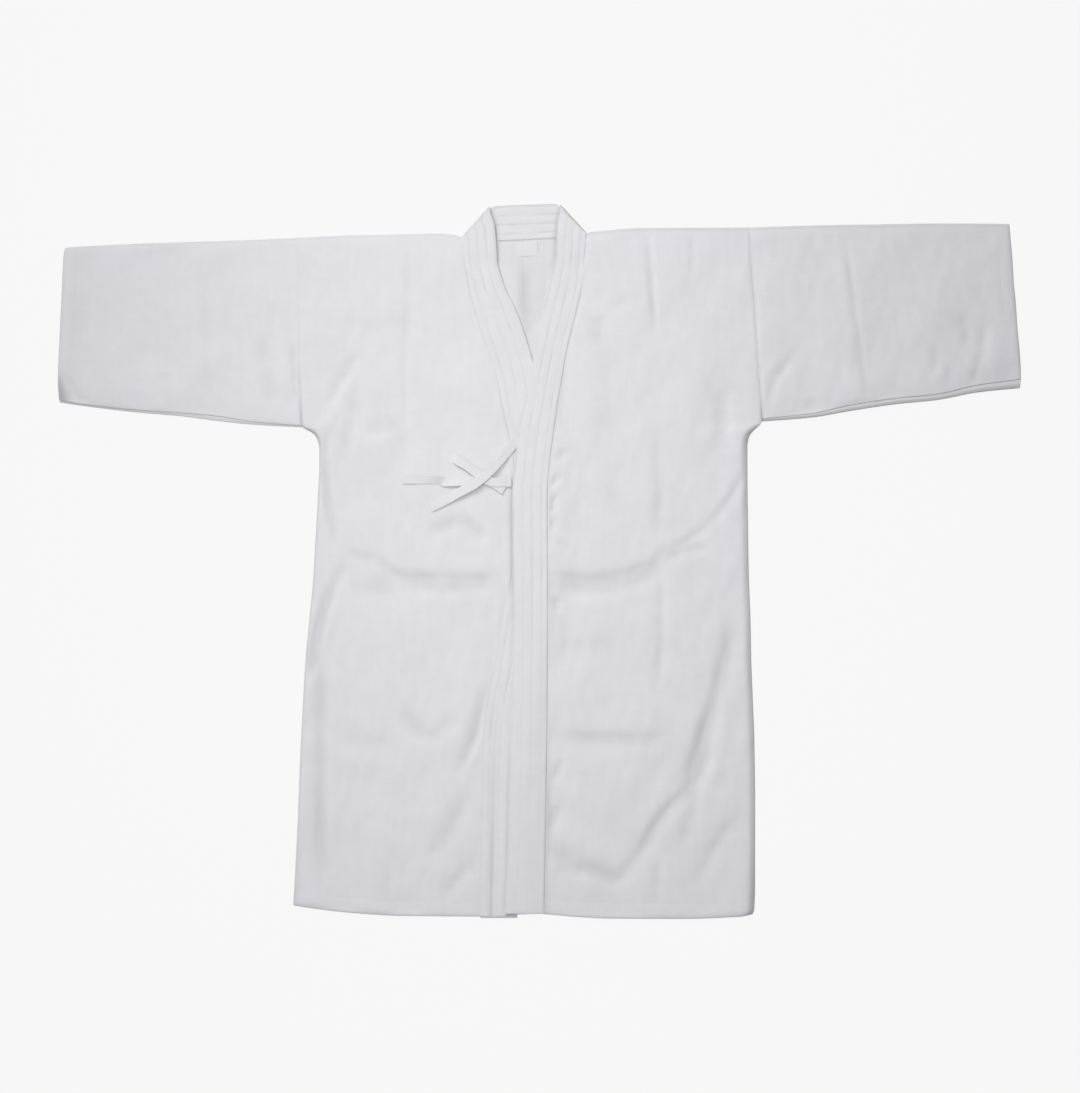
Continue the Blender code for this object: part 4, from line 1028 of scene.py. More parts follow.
# Depth of the dimple of each stitched row along the band, from the right hem round to the left one.
# Columns: share of its length, then the rows from the seam edge to the free edge
BAND_ROWS = ((0.0, 0.35, 0.1, 0.1, 0.1), (0.05, 0.35, 0.1, 0.1, 0.1), (0.12, 0.4, 0.3, 0.2, 0.1),
             (0.17, 0.5, 0.45, 0.25, 0.1), (0.25, 0.15, 0.15, 0.1, 0.15), (0.36, 0.4, 0.4, 0.35, 0.1),
             (0.40, 0.45, 0.45, 0.4, 0.05), (0.46, 0.55, 0.5, 0.5, 0.75), (0.54, 0.6, 0.6, 0.6, 0.75),
             (0.62, 0.4, 0.5, 0.4, 0.2), (0.70, 0.4, 0.5, 0.2, 0.55), (0.78, 0.4, 0.55, 0.15, 0.65),
             (0.83, 0.15, 0.2, 0.1, 0.2), (0.88, 0.08, 0.1, 0.05, 0.3), (1.0, 0.08, 0.1, 0.05, 0.35))
ROW_HALF_WIDTH = 0.03
# Rows of the band's mesh up to each corner, past its straight run, and round the neck
CORNER_ROWS, NECK_ROWS = 15, 33
# Fold of the right front's band beside its first row, near the hem. Columns: length, depth
LOW_ROW = ((0.0, 1.5), (70, 1.5), (110, 1.1), (190, 0.6), (300, 0.0))
# Place of that fold across the band and its half width, as shares
LOW_ROW_PLACE = (0.283, 0.065)
# Shade of the band, each strength with its reach: where it turns at the outline, at its two ends, where
# its front stretches cross the back one, and, with the reach as a share, beside its free and seam edges
TURN_SHADE, END_SHADE, CROSSED_SHADE = (1.5, 3.0), (1.3, 2.2), (1.0, 3.6)
FREE_EDGE_SHADE, SEAM_EDGE_SHADE, ROW_SHADE = (1.3, 0.035), (0.25, 0.04), 0.5
# Share of the band's length up to which it lies under the other front
BAND_UNDER_SHARE = 0.46
# Soft puckers of the band: height, share of the width over which they start at an edge, factors on the
# lengths along it and across it, and the shortest and longest wave
BAND_PUCKER, BAND_PUCKER_EDGE, PUCKER_SCALE, PUCKER_WAVES = 0.34, 0.1, (0.4, 40.0), (6.0, 24.0)
# Pull of the sewing along a row: its middle, its change and its least; its shortest and longest wave
ROW_PULL, ROW_WAVES = (0.85, 0.9, 0.1), (14.0, 70.0)
# y where the corner starts
BAND_TOP_Y = SHOULDER_Y - 9.0
# Share of the width past which the free edge droops in the neck
DROOP_START = 0.76
# Where the free edges of the front stretches cross the back one. Columns: y, x
CROSSED_EDGE = (((412, -56), (436, -58), (461, -66)), ((412, 22), (440, 23), (464, 28)))
# How far the seam edge rolls down along the band. Columns: share, roll
BAND_SEAM_DROP = ((0.0, 0.0), (0.29, 0.0), (0.33, 0.4), (0.37, 0.2), (0.41, 0.3), (0.44, 0.4), (0.48, 0.2),
                  (0.54, 0.1), (0.57, 0.25), (0.60, 0.85), (0.64, 1.0), (1.0, 1.0))
# Droop of the right stretch's free edge inside the neck. Columns: y, depth
NECK_DROOP = ((235, 0.0), (280, 0.8), (340, 1.25), (380, 1.1), (400, 0.0))


def band_stretch(side):
    """Middle of one front stretch of the band, from its low end to its corner."""
    y = spaced(HEM_Y, BAND_TOP_Y, BAND_ROW_STEP, EDGE_STEPS[:5], (0.0,))
    seam_x, free_x = (follow(BAND_EDGES[side], y, n) for n in (1, 2))
    seam_y = bend_rows(side, seam_x, y) + np.where(y < HEM_Y + 0.1, BAND_END[side], 0.0)
    edges = np.stack((seam_x, seam_y, free_x, seam_y), 1)
    knots = np.vstack((edges[-1], np.array(BAND_CORNER[side], float)))
    edges = np.vstack((edges, along_knots(knots, CORNER_ROWS)[1:]))
    shares = np.array(BAND_SHARES)
    x = mix(edges[:, :1], edges[:, 2:3], shares)
    y = mix(edges[:, 1:2], edges[:, 3:4], shares)
    low, high = COLLAR_RAMP
    z = mix(BAND_ON_BACK, BAND_ON_BAND, ease((y - low) / (high - low)))
    if side == "left":
        z = z + overlap_lift(x, y)
    else:
        z = z - pressed(x, y) - follow(NECK_DROOP, y) * ease((shares - DROOP_START) / (1 - DROOP_START))
    return np.stack((x, y, z), 2)


def along_knots(knots, count):
    """Rows at even steps from the first knot to the last, on smooth curves through all columns."""
    keys = np.arange(len(knots), dtype=float)
    table = np.column_stack((keys, knots))
    return np.stack([follow(table, np.linspace(0, keys[-1], count), n + 1) for n in range(len(knots[0]))], 1)


def band_corner(row, turn):
    """Rows of a corner fold: the band turns from its front stretch down under itself."""
    run = row[-1] - row[0]
    out = np.array((-run[1], run[0], 0.0))
    out *= turn / np.linalg.norm(out)
    level = np.column_stack((row[:, :2], np.full(len(row), (SOLID_BAND / 2 + BAND_ON_BAND) / 2)))
    angles = np.linspace(pi / 2, -pi / 2, BEND_STEPS + 1)[1:]
    arms = [out * cos(angle) + np.array((0, 0, sin(angle))) for angle in angles]
    points = [level + arm * BAND_STEP / 2 for arm in arms]
    return np.array(points), np.array([np.broadcast_to(arm, row.shape) for arm in arms])


def shifted_in(row, turn):
    """The last row of a stretch, moved in from the outline by the thickness of the fold."""
    run = row[-1] - row[0]
    back = np.array((run[1], -run[0], 0.0))
    return row + back * turn * BAND_INSET / np.linalg.norm(back)


def band_parts():
    """The band's five parts from hem to hem, each as points and directions: fronts, corners and neck."""
    fronts, corners = {}, {}
    for side, turn in (("right", 1.0), ("left", -1.0)):
        rows = band_stretch(side)
        rows[-1] = shifted_in(rows[-1], turn)
        rows[-2] = mix(rows[-3], rows[-1], 0.5)
        fronts[side] = rows, outward_of(rows, UP)
        corners[side] = band_corner(rows[-1], turn)
    shares = np.array(BAND_SHARES)
    seam_x, free_x, free_y = along_knots(np.array(BAND_BACK, float), NECK_ROWS).T[..., None]
    x, y = mix(seam_x, free_x, shares), mix(follow(NECK_LINE, seam_x), free_y, shares)
    back = np.stack(np.broadcast_arrays(x, y, SOLID_BAND / 2), 2)
    up_to_front = [[grid[::-1] for grid in part] for part in (corners["left"], fronts["left"])]
    return [fronts["right"], corners["right"], (back, np.broadcast_to(DOWN, back.shape))] + up_to_front


def band_dimples(shares, v):
    """Depth of the stitched rows; sewing pulls the band in a little at uneven places along it."""
    place, width = LOW_ROW_PLACE
    even, change, least = ROW_PULL
    dimples = follow(LOW_ROW, v)[:, None] * bell(shares - place, width)
    for row, share in enumerate(BAND_STITCH_SHARES):
        uneven = np.maximum(least, even + change * unevenness(v, 0.0, BAND_SEED + row, *ROW_WAVES))
        depth = follow(BAND_ROWS, v / v[-1], row + 1) * uneven
        dimples = dimples + depth[:, None] * bell(shares - share, ROW_HALF_WIDTH)
    return dimples


def collar_band(sizes, material):
    """One band: up the right front, round the neck, where its inner face shows, down the left front."""
    shares = np.array(BAND_SHARES)
    parts = band_parts()
    middle, outward = (np.concatenate([part[n] for part in parts]) for n in (0, 1))
    v = walked(middle[:, BAND_RUN_COLUMN])
    total = v[-1]
    dimples = band_dimples(shares, v)
    drop = follow(BAND_SEAM_DROP, v / total)[:, None]
    thick = band_thickness(shares, dimples, drop, sizes.band_thickness / MM)
    long, wide = PUCKER_SCALE
    pucker = unevenness(long * v[:, None], wide * shares, PUCKER_SEED, *PUCKER_WAVES)
    thick = thick + BAND_PUCKER * pucker * roll(np.minimum(shares, 1 - shares), BAND_PUCKER_EDGE)
    thin_ends(thick, BAND_CUT)
    width = np.linalg.norm(middle[:, -1] - middle[:, 0], axis=1)
    uv = np.stack(np.broadcast_arrays(width[:, None] * shares, v[:, None]), 2)

    def shade(kind, distance):
        return kind[0] * bell(distance, kind[1])

    x, y = middle[..., 0], middle[..., 1]
    first, last = len(parts[0][0]), len(parts[4][0])
    free_edge = follow(BAND_ROWS, v / total, 4)[:, None] * shade(FREE_EDGE_SHADE, 1 - shares)
    below = np.where((v > total * BAND_UNDER_SHARE)[:, None], 0.0, pressed_shade(x, y, "band"))
    turns = sum(shade(TURN_SHADE, v - v[fold]) for fold in (first + BEND_STEPS // 2, -last - BEND_STEPS // 2))
    turns = (turns + shade(END_SHADE, np.minimum(v, total - v)))[:, None]
    inside = sum(shade(CROSSED_SHADE, follow(table, y) - x) for table in CROSSED_EDGE)
    inside[:first + BEND_STEPS] = inside[-last - BEND_STEPS:] = 0.0
    painted_shade = np.maximum.reduce(np.broadcast_arrays(ROW_SHADE * dimples, free_edge, below, turns,
                                                   drop * shade(SEAM_EDGE_SHADE, shares)))
    piece = cloth_shell("jacket_collar_band", middle, outward, thick, uv, material, painted_shade=painted_shade,
                        inner=inside)
    for share in BAND_STITCH_SHARES:
        stitch_both_faces("band_stitches", middle, outward, thick, int(np.argmin(np.abs(shares - share))), 3)
    return wear(piece, "band_cotton", "collar_band")


def stitch_both_faces(name, middle, outward, thick, column, ends):
    """Marks a stitched row along one column, on both faces, some rows short of each end."""
    for hand in (1.0, -1.0):
        skin = middle[:, column] + hand * outward[:, column] * thick[:, column, None] / 2
        remember_row(name, skin[ends:-ends], hand * outward[ends:-ends, column])


def resting_height(x, y, sizes):
    """Level of the cloth or band right under a strip, evened out along its run."""
    levels = []
    half = TIE_WIDTH / 2
    for dx, dy in ((0, 0), (half, 0), (-half, 0), (0, half), (0, -half)):
        cloth = front_height("right", x + dx, y + dy, sizes) + sizes.cloth_thickness / MM / 2
        band = BAND_ON_BACK + sizes.band_thickness / MM / 2
        levels.append(np.where(x + dx > follow(BAND_EDGES["right"], y + dy, 1), band, cloth))
    highest = np.maximum.reduce(levels)
    near = [slice(max(0, n - TIE_EVEN_ROWS), n + TIE_EVEN_ROWS + 1) for n in range(len(highest))]
    wide = np.array([highest[rows].max() for rows in near])
    return np.array([wide[rows].mean() for rows in near])


def level_across(run):
    """Level direction square to a run at each of its points, on the same hand all along it."""
    across, kept = [], None
    for direction in run:
        side = np.array((-direction[1], direction[0], 0.0))
        if np.linalg.norm(side) > 0.5:
            side /= np.linalg.norm(side)
            kept = -side if kept is not None and side @ kept < 0 else side
        across.append(kept)
    return np.array(across)


# Steps from one point of a tie's route to the next
ROUTE_STEPS = 7


def tie(name, sizes, material):
    """Folded strip on its route over the fronts; it doubles back at the ends of the bow's loops."""
    route = smooth_line(np.array(TIE_ROUTES[name], float), ROUTE_STEPS)
    base = resting_height(route[:, 0], route[:, 1], sizes) + TIE_ON_CLOTH
    points = np.column_stack((route[:, 0], route[:, 1], base + route[:, 2] * TIE_STEP))
    run = np.gradient(points, axis=0)
    run /= np.linalg.norm(run, axis=1, keepdims=True)
    across = level_across(run)
    out = np.cross(run, across)
    out /= np.linalg.norm(out, axis=1, keepdims=True)
    twist = np.radians(route[:, 3])[:, None]
    across, out = across * np.cos(twist) + out * np.sin(twist), out * np.cos(twist) - across * np.sin(twist)
    shares = np.array(TIE_SHARES, float)
    v = walked(points)
    half = TIE_WIDTH / 2 * (1 + sum(share * np.sin(v / wave + start) for share, wave, start in TIE_WAVER))
    half[[0, -1]] *= TIE_END_WIDTH
    middle = points[:, None, :] + across[:, None, :] * (shares * half[:, None])[..., None]
    outward = np.repeat(out[:, None, :], len(shares), axis=1)
    # Both edges are folds, and the row of stitches lies in a dimple
    left, edge_run = TIE_EDGE
    depth, width = TIE_DIMPLE
    tape = sizes.tape_thickness / MM * mix(left, 1.0, roll(1 - np.abs(shares), edge_run))
    thick = (tape - depth * bell(shares - TIE_STITCH_SHARE, width)) * np.ones((len(points), 1))
    thin_ends(thick, TIE_CUT)
    uv = np.stack(np.broadcast_arrays(shares * TIE_WIDTH / 2, v[:, None]), 2)
    piece = cloth_shell("jacket_" + name, middle, outward, thick, uv, material)
    column = int(np.argmin(np.abs(shares - TIE_STITCH_SHARE)))
    stitch_both_faces("tie_stitches", middle, outward, thick, column, 2)
    return wear(piece, "tie_tape", name)


# Rise of the label's stitches, and the steps along each of its four sides
LABEL_STITCH_LIFT, LABEL_SIDE_STEPS = 0.02, 11


def neck_label(sizes, material):
    """Blank woven label that hangs from the collar seam, sewn down along its edges."""
    thick = sizes.label_thickness / MM
    across, along = np.meshgrid(LABEL_SHARES, LABEL_SHARES)
    x = LABEL_CENTRE[0] + across * LABEL_SIZE[0] / 2
    y = LABEL_CENTRE[1] - along * LABEL_SIZE[1] / 2
    puff = LABEL_PUFF * (1 - across ** 4) * (1 - along ** 4)
    middle = np.stack((x, y, sizes.cloth_thickness / MM + LABEL_LIFT + thick / 2 + puff), 2)
    piece = cloth_shell("jacket_neck_label", middle, outward_of(middle, UP),
                        soft_rim(np.full(x.shape, thick), (0.5, 0.9)), np.stack((x, y), 2), material)
    first, last = LABEL_STITCH_ROW, -1 - LABEL_STITCH_ROW
    corners = ((first, first), (first, last), (last, last), (last, first), (first, first))
    loop = straight_runs([middle[corner] for corner in corners])
    remember_row("label_stitches", loop + (0, 0, thick / 2 + LABEL_STITCH_LIFT), np.tile(UP, (len(loop), 1)))
    return wear(piece, "label_cloth", "neck_label")


def straight_runs(corners):
    """Points along the straight runs between corners."""
    shares = np.linspace(0, 1, LABEL_SIDE_STEPS + 1)[:-1, None]
    runs = [mix(a, b, shares) for a, b in zip(corners, corners[1:])]
    return np.vstack(runs + [corners[-1][None, :]])


# Nodes of the stitching: what each is, and its settings
STITCH_NODES = {
    "given": ("NodeGroupInput", {}),
    "made": ("NodeGroupOutput", {}),
    "curve": ("GeometryNodeMeshToCurve", {}),
    "sampled": ("GeometryNodeResampleCurve", {"mode": "LENGTH"}),
    "tangent": ("GeometryNodeInputTangent", {}),
    "outward": ("GeometryNodeInputNamedAttribute", {"data_type": "FLOAT_VECTOR"}),
    "along": ("FunctionNodeAlignRotationToVector", {"axis": "X"}),
    "upright": ("FunctionNodeAlignRotationToVector", {"axis": "Z", "pivot_axis": "X"}),
    "bead": ("GeometryNodeMeshIcoSphere", {}),
    "size": ("ShaderNodeCombineXYZ", {}),
    "shaped": ("GeometryNodeTransform", {}),
    "vary": ("FunctionNodeRandomValue", {"data_type": "FLOAT"}),
    "placed": ("GeometryNodeInstanceOnPoints", {}),
    "real": ("GeometryNodeRealizeInstances", {}),
    "smooth": ("GeometryNodeSetShadeSmooth", {}),
    "finish": ("GeometryNodeSetMaterial", {}),
}
# What feeds what: node and output, node and input
STITCH_LINKS = (
    ("given", "Geometry", "curve", "Mesh"), ("curve", "Curve", "sampled", "Curve"),
    ("given", "Stitch pitch", "sampled", "Length"), ("tangent", "Tangent", "along", "Vector"),
    ("along", "Rotation", "upright", "Rotation"), ("outward", "Attribute", "upright", "Vector"),
    ("given", "Stitch length", "size", "X"), ("given", "Thread width", "size", "Y"),
    ("given", "Thread height", "size", "Z"), ("bead", "Mesh", "shaped", "Geometry"),
    ("size", "Vector", "shaped", "Scale"), ("given", "Seed", "vary", "Seed"),
    ("sampled", "Curve", "placed", "Points"), ("shaped", "Geometry", "placed", "Instance"),
    ("upright", "Rotation", "placed", "Rotation"), ("vary", 1, "placed", "Scale"),
    ("placed", "Instances", "real", "Geometry"), ("real", "Geometry", "smooth", "Geometry"),
    ("smooth", "Geometry", "finish", "Geometry"), ("finish", "Geometry", "made", "Geometry"),
)


def stitch_tree(material):
    """Geometry Nodes tree: one small thread bead at each step along a path, turned to the cloth."""
    tree = bpy.data.node_groups.new("sewn_stitches", "GeometryNodeTree")
    tree.is_modifier = True
    face = tree.interface
    face.new_socket("Geometry", in_out="INPUT", socket_type="NodeSocketGeometry")
    for name, default in (("Stitch length", 0.0028), ("Stitch pitch", 0.0038), ("Thread width", 0.0007),
                          ("Thread height", 0.0005)):
        socket = face.new_socket(name, in_out="INPUT", socket_type="NodeSocketFloat")
        socket.default_value = default
        socket.subtype = "DISTANCE"
    face.new_socket("Seed", in_out="INPUT", socket_type="NodeSocketInt").default_value = 3
    face.new_socket("Geometry", in_out="OUTPUT", socket_type="NodeSocketGeometry")
    nodes = {}
    for name, (kind, settings) in STITCH_NODES.items():
        nodes[name] = tree.nodes.new(kind)
        for setting, value in settings.items():
            setattr(nodes[name], setting, value)
    nodes["outward"].inputs["Name"].default_value = "outward"
    set_inputs(nodes["bead"], {"Radius": 0.5, "Subdivisions": 1})
    # Each stitch is this much smaller or larger than the rest
    set_inputs(nodes["vary"], {2: 0.86, 3: 1.1})
    set_inputs(nodes["finish"], {"Material": material})
    for source, output, target, given in STITCH_LINKS:
        tree.links.new(nodes[source].outputs[output], nodes[target].inputs[given])
    return tree


def set_inputs(node, values):
    """Sets inputs of a node by name or by place."""
    for name, value in values.items():
        node.inputs[name].default_value = value


def stitches(name, runs, tree, sizes, slot):
    """All stitched rows of one piece, as one plain mesh."""
    points, outs, edges = [], [], []
    for run, outward in runs:
        start = len(points)
        points += (run * MM).tolist()
        outs += outward.tolist()
        edges += [(n, n + 1) for n in range(start, len(points) - 1)]
    paths = bpy.data.meshes.new(name + "_paths")
    paths.from_pydata(points, edges, [])
    directions = paths.attributes.new("outward", "FLOAT_VECTOR", "POINT")
    directions.data.foreach_set("vector", np.array(outs).ravel())
    guide = place_object(name + "_paths", paths)
    modifier = guide.modifiers.new("stitches", "NODES")
    modifier.node_group = tree
    values = {"Stitch length": sizes.stitch_length, "Stitch pitch": sizes.stitch_pitch,
              "Thread width": sizes.thread_width, "Thread height": sizes.thread_height}
    for item in tree.interface.items_tree:
        if item.in_out == "INPUT" and item.name in values:
            modifier[item.identifier] = values[item.name]
    guide.update_tag()
    mesh = bpy.data.meshes.new_from_object(guide.evaluated_get(bpy.context.evaluated_depsgraph_get()))
    mesh.name = name
    bpy.data.objects.remove(guide, do_unlink=True)
    return wear(place_object("jacket_" + name, mesh), slot)


class Level:
    """A value that changes over the cloth; sums with numbers and other levels become Math nodes."""

    def __init__(self, node, output):
        self.tree, self.output = node.id_data, node.outputs[output]

    def maths(self, operation, *others):
        """One Math node, on this level and the others, each a number or a level."""
        return self.joined(operation, self, *others)

    def joined(self, operation, *values):
        """One Math node, fed by the values in the order given."""
        node = self.tree.nodes.new("ShaderNodeMath")
        node.operation = operation
        for socket, value in zip(node.inputs, values):
            if isinstance(value, Level):
                value.feed(socket)
            else:
                socket.default_value = value
        return Level(node, "Value")

    def __add__(self, other):
        return self.maths("ADD", other)

    def __sub__(self, other):
        return self.maths("SUBTRACT", other)

    def __rsub__(self, other):
        return self.joined("SUBTRACT", other, self)

    def __mul__(self, other):
        return self.maths("MULTIPLY", other)

    def __pow__(self, other):
        return self.maths("POWER", other)

    def wave(self):
        """0 to 1 and back at each whole number."""
        return (self * pi).maths("SINE").maths("ABSOLUTE")

    def feed(self, socket):
        """Links the level to an input."""
        self.tree.links.new(self.output, socket)


def noise(vector, scale, detail):
    """Soft noise between about 0 and 1; the scale may differ along each axis."""
    tree = vector.tree
    if isinstance(scale, tuple):
        stretched = tree.nodes.new("ShaderNodeVectorMath")
        stretched.operation = "MULTIPLY"
        stretched.inputs[1].default_value = scale
        vector.feed(stretched.inputs[0])
        vector, scale = Level(stretched, "Vector"), 1.0
    node = tree.nodes.new("ShaderNodeTexNoise")
    set_inputs(node, {"Scale": scale, "Detail": detail})
    vector.feed(node.inputs["Vector"])
    return Level(node, "Fac")


def shader_group(name, inputs, outputs):
    """New shader group with a Vector and the inputs named, and their defaults: its tree, levels and end."""
    tree = bpy.data.node_groups.new(name, "ShaderNodeTree")
    tree.interface.new_socket("Vector", in_out="INPUT", socket_type="NodeSocketVector")
    for socket, default in inputs.items():
        made = tree.interface.new_socket(socket, in_out="INPUT", socket_type="NodeSocketFloat")
        made.default_value = default
    for socket in outputs:
        tree.interface.new_socket(socket, in_out="OUTPUT", socket_type="NodeSocketFloat")
    given, made = tree.nodes.new("NodeGroupInput"), tree.nodes.new("NodeGroupOutput")
    return tree, [Level(given, socket) for socket in ("Vector", *inputs)], made.inputs


def weave_group():
    """Plain weave: Height of the threads, and Thread, 1 on their crowns and 0 between them."""
    defaults = {"Warp per metre": 900.0, "Weft per metre": 800.0, "Irregular": 0.35}
    tree, (vector, warp_count, weft_count, irregular), made = shader_group("plain_weave", defaults,
                                                                           ("Height", "Thread"))
    split = tree.nodes.new("ShaderNodeSeparateXYZ")
    vector.feed(split.inputs["Vector"])
    drift = (noise(vector, 160.0, 3.0) - 0.5) * irregular
    # Place across each set of yarns, counted in yarns, and the height of each as if nothing crossed it
    warp = Level(split, "X") * warp_count + drift * 4.0
    weft = Level(split, "Y") * weft_count + drift * -4.0
    warp_rise, weft_rise = warp.wave(), weft.wave()
    warp_over = (warp.maths("FLOOR") + weft.maths("FLOOR")).maths("FLOORED_MODULO", 2.0)
    warp_up = warp_rise.maths("SQRT") * weft_rise.maths("MULTIPLY_ADD", 0.55, 0.45)
    weft_up = weft_rise.maths("SQRT") * warp_rise.maths("MULTIPLY_ADD", 0.55, 0.45)
    height = warp_up * warp_over + weft_up * (1.0 - warp_over)
    height.feed(made["Height"])
    (height ** 0.6).feed(made["Thread"])
    return tree


def slub_group():
    """Uneven yarn: streaks along the warp and the weft. Tone is about 0.5 on average; Height follows it."""
    tree, (vector, warp_share), made = shader_group("uneven_yarn", {"Warp share": 0.6}, ("Tone", "Height"))
    warp = noise(vector, (150.0, 9.0, 1.0), 2.0) * 0.6 + noise(vector, (700.0, 22.0, 1.0), 3.0) * 0.4
    weft = noise(vector, (22.0, 620.0, 1.0), 3.0)
    tone = warp * warp_share + weft * (1.0 - warp_share)
    tone.feed(made["Tone"])
    (tone ** 1.5).feed(made["Height"])
    return tree


def tone_and_shade_group():
    """Random tone and painted shade: Tone round 0.5, a factor below 1 that paints shade into creases and
    along edges, and Rough.
    """
    tree, (vector, painted_shade, crease_tone), made = shader_group(
        "tone_and_painted_shade", {"Crease": 0.0, "Crease tone": 0.09}, ("Tone", "Shade factor", "Rough"))
    (noise(vector, 26.0, 2.0) * 0.5 + noise(vector, 95.0, 3.0) * 0.5).feed(made["Tone"])
    # Painted shade: this factor falls below 1 where the pieces set shade in creases, along edges and beside
    # seams
    (1.0 - painted_shade * crease_tone).feed(made["Shade factor"])
    painted_shade.maths("MULTIPLY_ADD", 0.04, 0.0).feed(made["Rough"])
    return tree


def new_finish(name, values):
    """New material: itself, its tree, and its Principled shader with the values given."""
    material = bpy.data.materials.new(name)
    material.use_nodes = True
    tree = material.node_tree
    shader = tree.nodes["Principled BSDF"]
    set_inputs(shader, values)
    return material, tree, shader


def colour_at(shader, colour, level):
    """Feeds one colour, made lighter or darker by a level round 1, to the shader."""
    scaled = level.tree.nodes.new("ShaderNodeVectorMath")
    scaled.operation = "SCALE"
    scaled.inputs[0].default_value = colour
    level.feed(scaled.inputs["Scale"])
    Level(scaled, "Vector").feed(shader.inputs["Base Color"])


def cotton(name, colour, groups, warp=900.0, weft=800.0, bump=0.35, tone=0.1, roughness=0.9, sheen=0.12,
           shade_strength=0.1):
    """Matt woven cotton: weave, uneven yarn, random tone and painted shade over one colour."""
    material, tree, shader = new_finish(name, {"Sheen Weight": sheen, "Sheen Roughness": 0.6,
                                               "Specular IOR Level": 0.25, "Metallic": 0.0})
    place, spot, painted_shade, raised = (tree.nodes.new("ShaderNode" + kind)
                                   for kind in ("UVMap", "TexCoord", "Attribute", "Bump"))
    place.uv_map = "threads"
    painted_shade.attribute_name = "painted_shade"
    threads, yarn, tone_and_shade = (tree.nodes.new("ShaderNodeGroup") for _ in groups)
    threads.node_tree, yarn.node_tree, tone_and_shade.node_tree = groups
    set_inputs(tone_and_shade, {"Crease tone": shade_strength})
    set_inputs(threads, {"Warp per metre": warp, "Weft per metre": weft})
    for group in (threads, yarn):
        Level(place, "UV").feed(group.inputs["Vector"])
    Level(spot, "Object").feed(tone_and_shade.inputs["Vector"])
    Level(painted_shade, "Fac").feed(tone_and_shade.inputs["Crease"])
    # Tone of the cloth round 1, from all three; the weave's part is lighter on the yarns' crowns and darker
    # between them, painted shade of the weave
    mixed = Level(yarn, "Tone") * 0.5 + Level(tone_and_shade, "Tone") * 0.5
    mixed = mixed + Level(threads, "Thread").maths("MULTIPLY_ADD", 0.5, -0.4)
    # The colour is darkened by the painted shade of creases, edges and seams
    colour_at(shader, colour, mixed.maths("MULTIPLY_ADD", tone * 2, 1 - tone) * Level(tone_and_shade, "Shade factor"))
    (Level(tone_and_shade, "Rough") + roughness).feed(shader.inputs["Roughness"])
    set_inputs(raised, {"Strength": bump, "Distance": 0.00025})
    (Level(threads, "Height") + Level(yarn, "Height") * 1.6).feed(raised.inputs["Height"])
    Level(raised, "Normal").feed(shader.inputs["Normal"])
    return material


def thread_finish(name, colour):
    """Twisted sewing thread."""
    material, tree, shader = new_finish(name, {"Roughness": 0.75, "Sheen Weight": 0.2})
    spot = Level(tree.nodes.new("ShaderNodeTexCoord"), "Object")
    colour_at(shader, colour, noise(spot, 900.0, 2.0).maths("MULTIPLY_ADD", 0.1, 0.95))
    return material


def finishes(sizes):
    """All materials of the jacket, made once and kept by name."""
    if "jacket_cotton" not in bpy.data.materials:
        groups = weave_group(), slub_group(), tone_and_shade_group()
        colour = tuple(sizes.cloth_colour)
        cotton("jacket_cotton", colour, groups, bump=0.4)
        band_colour = tuple(channel * 0.995 for channel in colour)
        # The band takes stronger painted shade, for its stitched rows and edges
        cotton("jacket_band", band_colour, groups, warp=980, weft=860, bump=0.35, shade_strength=0.22)
        cotton("jacket_tape", colour, groups, warp=1100, weft=900, bump=0.3)
        cotton("jacket_label", tuple(sizes.label_colour), groups, warp=2400, weft=2200, bump=0.12, tone=0.02,
               roughness=0.7, sheen=0.05)
        thread_finish("sewing_thread", tuple(sizes.thread_colour))
    return bpy.data.materials


# One pixel of the photograph on the surface, and the size and centre of what it shows, in metres
PIXEL = 1.3 * MM
VIEW_SIZE = (1080 * PIXEL, 1093 * PIXEL)
VIEW_CENTRE = (0.00065, 0.0192)
# Just below the jacket, which has stitches on its underside
FLOOR_LEVEL = -0.0004
# Height over the surface at which the camera's view is as large as the picture
VIEW_LEVEL = 0.006
# Soft box over the chest: its place and size. Low light: where it comes from, and how wide it is
KEY_PLACE, KEY_SIZE = (-0.10, 0.38, 0.9), (0.3, 1.8)
SIDE_FROM, SIDE_WIDTH = (-0.55, 0.75, 0.75), radians(22)
WORLD_COLOUR = (0.98, 0.985, 1.0, 1.0)


def plain_floor(stage):
    """Pale floor that gives off most of its own tone, so that it stays even all over the view."""
    half = stage.floor_size / 2
    mesh = bpy.data.meshes.new("floor")
    corners = [(-half, -half, 0), (half, -half, 0), (half, half, 0), (-half, half, 0)]
    mesh.from_pydata(corners, [], [(0, 1, 2, 3)])
    floor = place_object("floor", mesh)
    floor.location.z = FLOOR_LEVEL
    material, _, _ = new_finish("pale_floor", {
        "Base Color": (stage.floor_tone,) * 3 + (1.0,), "Roughness": 1.0, "Specular IOR Level": 0.0,
        "Emission Color": (1.0, 1.0, 1.0, 1.0), "Emission Strength": stage.floor_glow})
    mesh.materials.append(material)


def soft_light(name, place, size, power):
    """Level soft box that shines straight down; the camera sees through it."""
    lamp = bpy.data.lights.new(name, "AREA")
    lamp.shape = "RECTANGLE"
    lamp.size, lamp.size_y = size
    lamp.energy = power
    box = place_object(name, lamp)
    box.location = place
    box.visible_camera = False


def low_light(name, direction, power, width):
    """Even soft light from far off on one side, which shows up the folds."""
    lamp = bpy.data.lights.new(name, "SUN")
    lamp.energy = power
    lamp.angle = width
    place_object(name, lamp).rotation_euler = Vector(direction).to_track_quat("Z", "Y").to_euler()


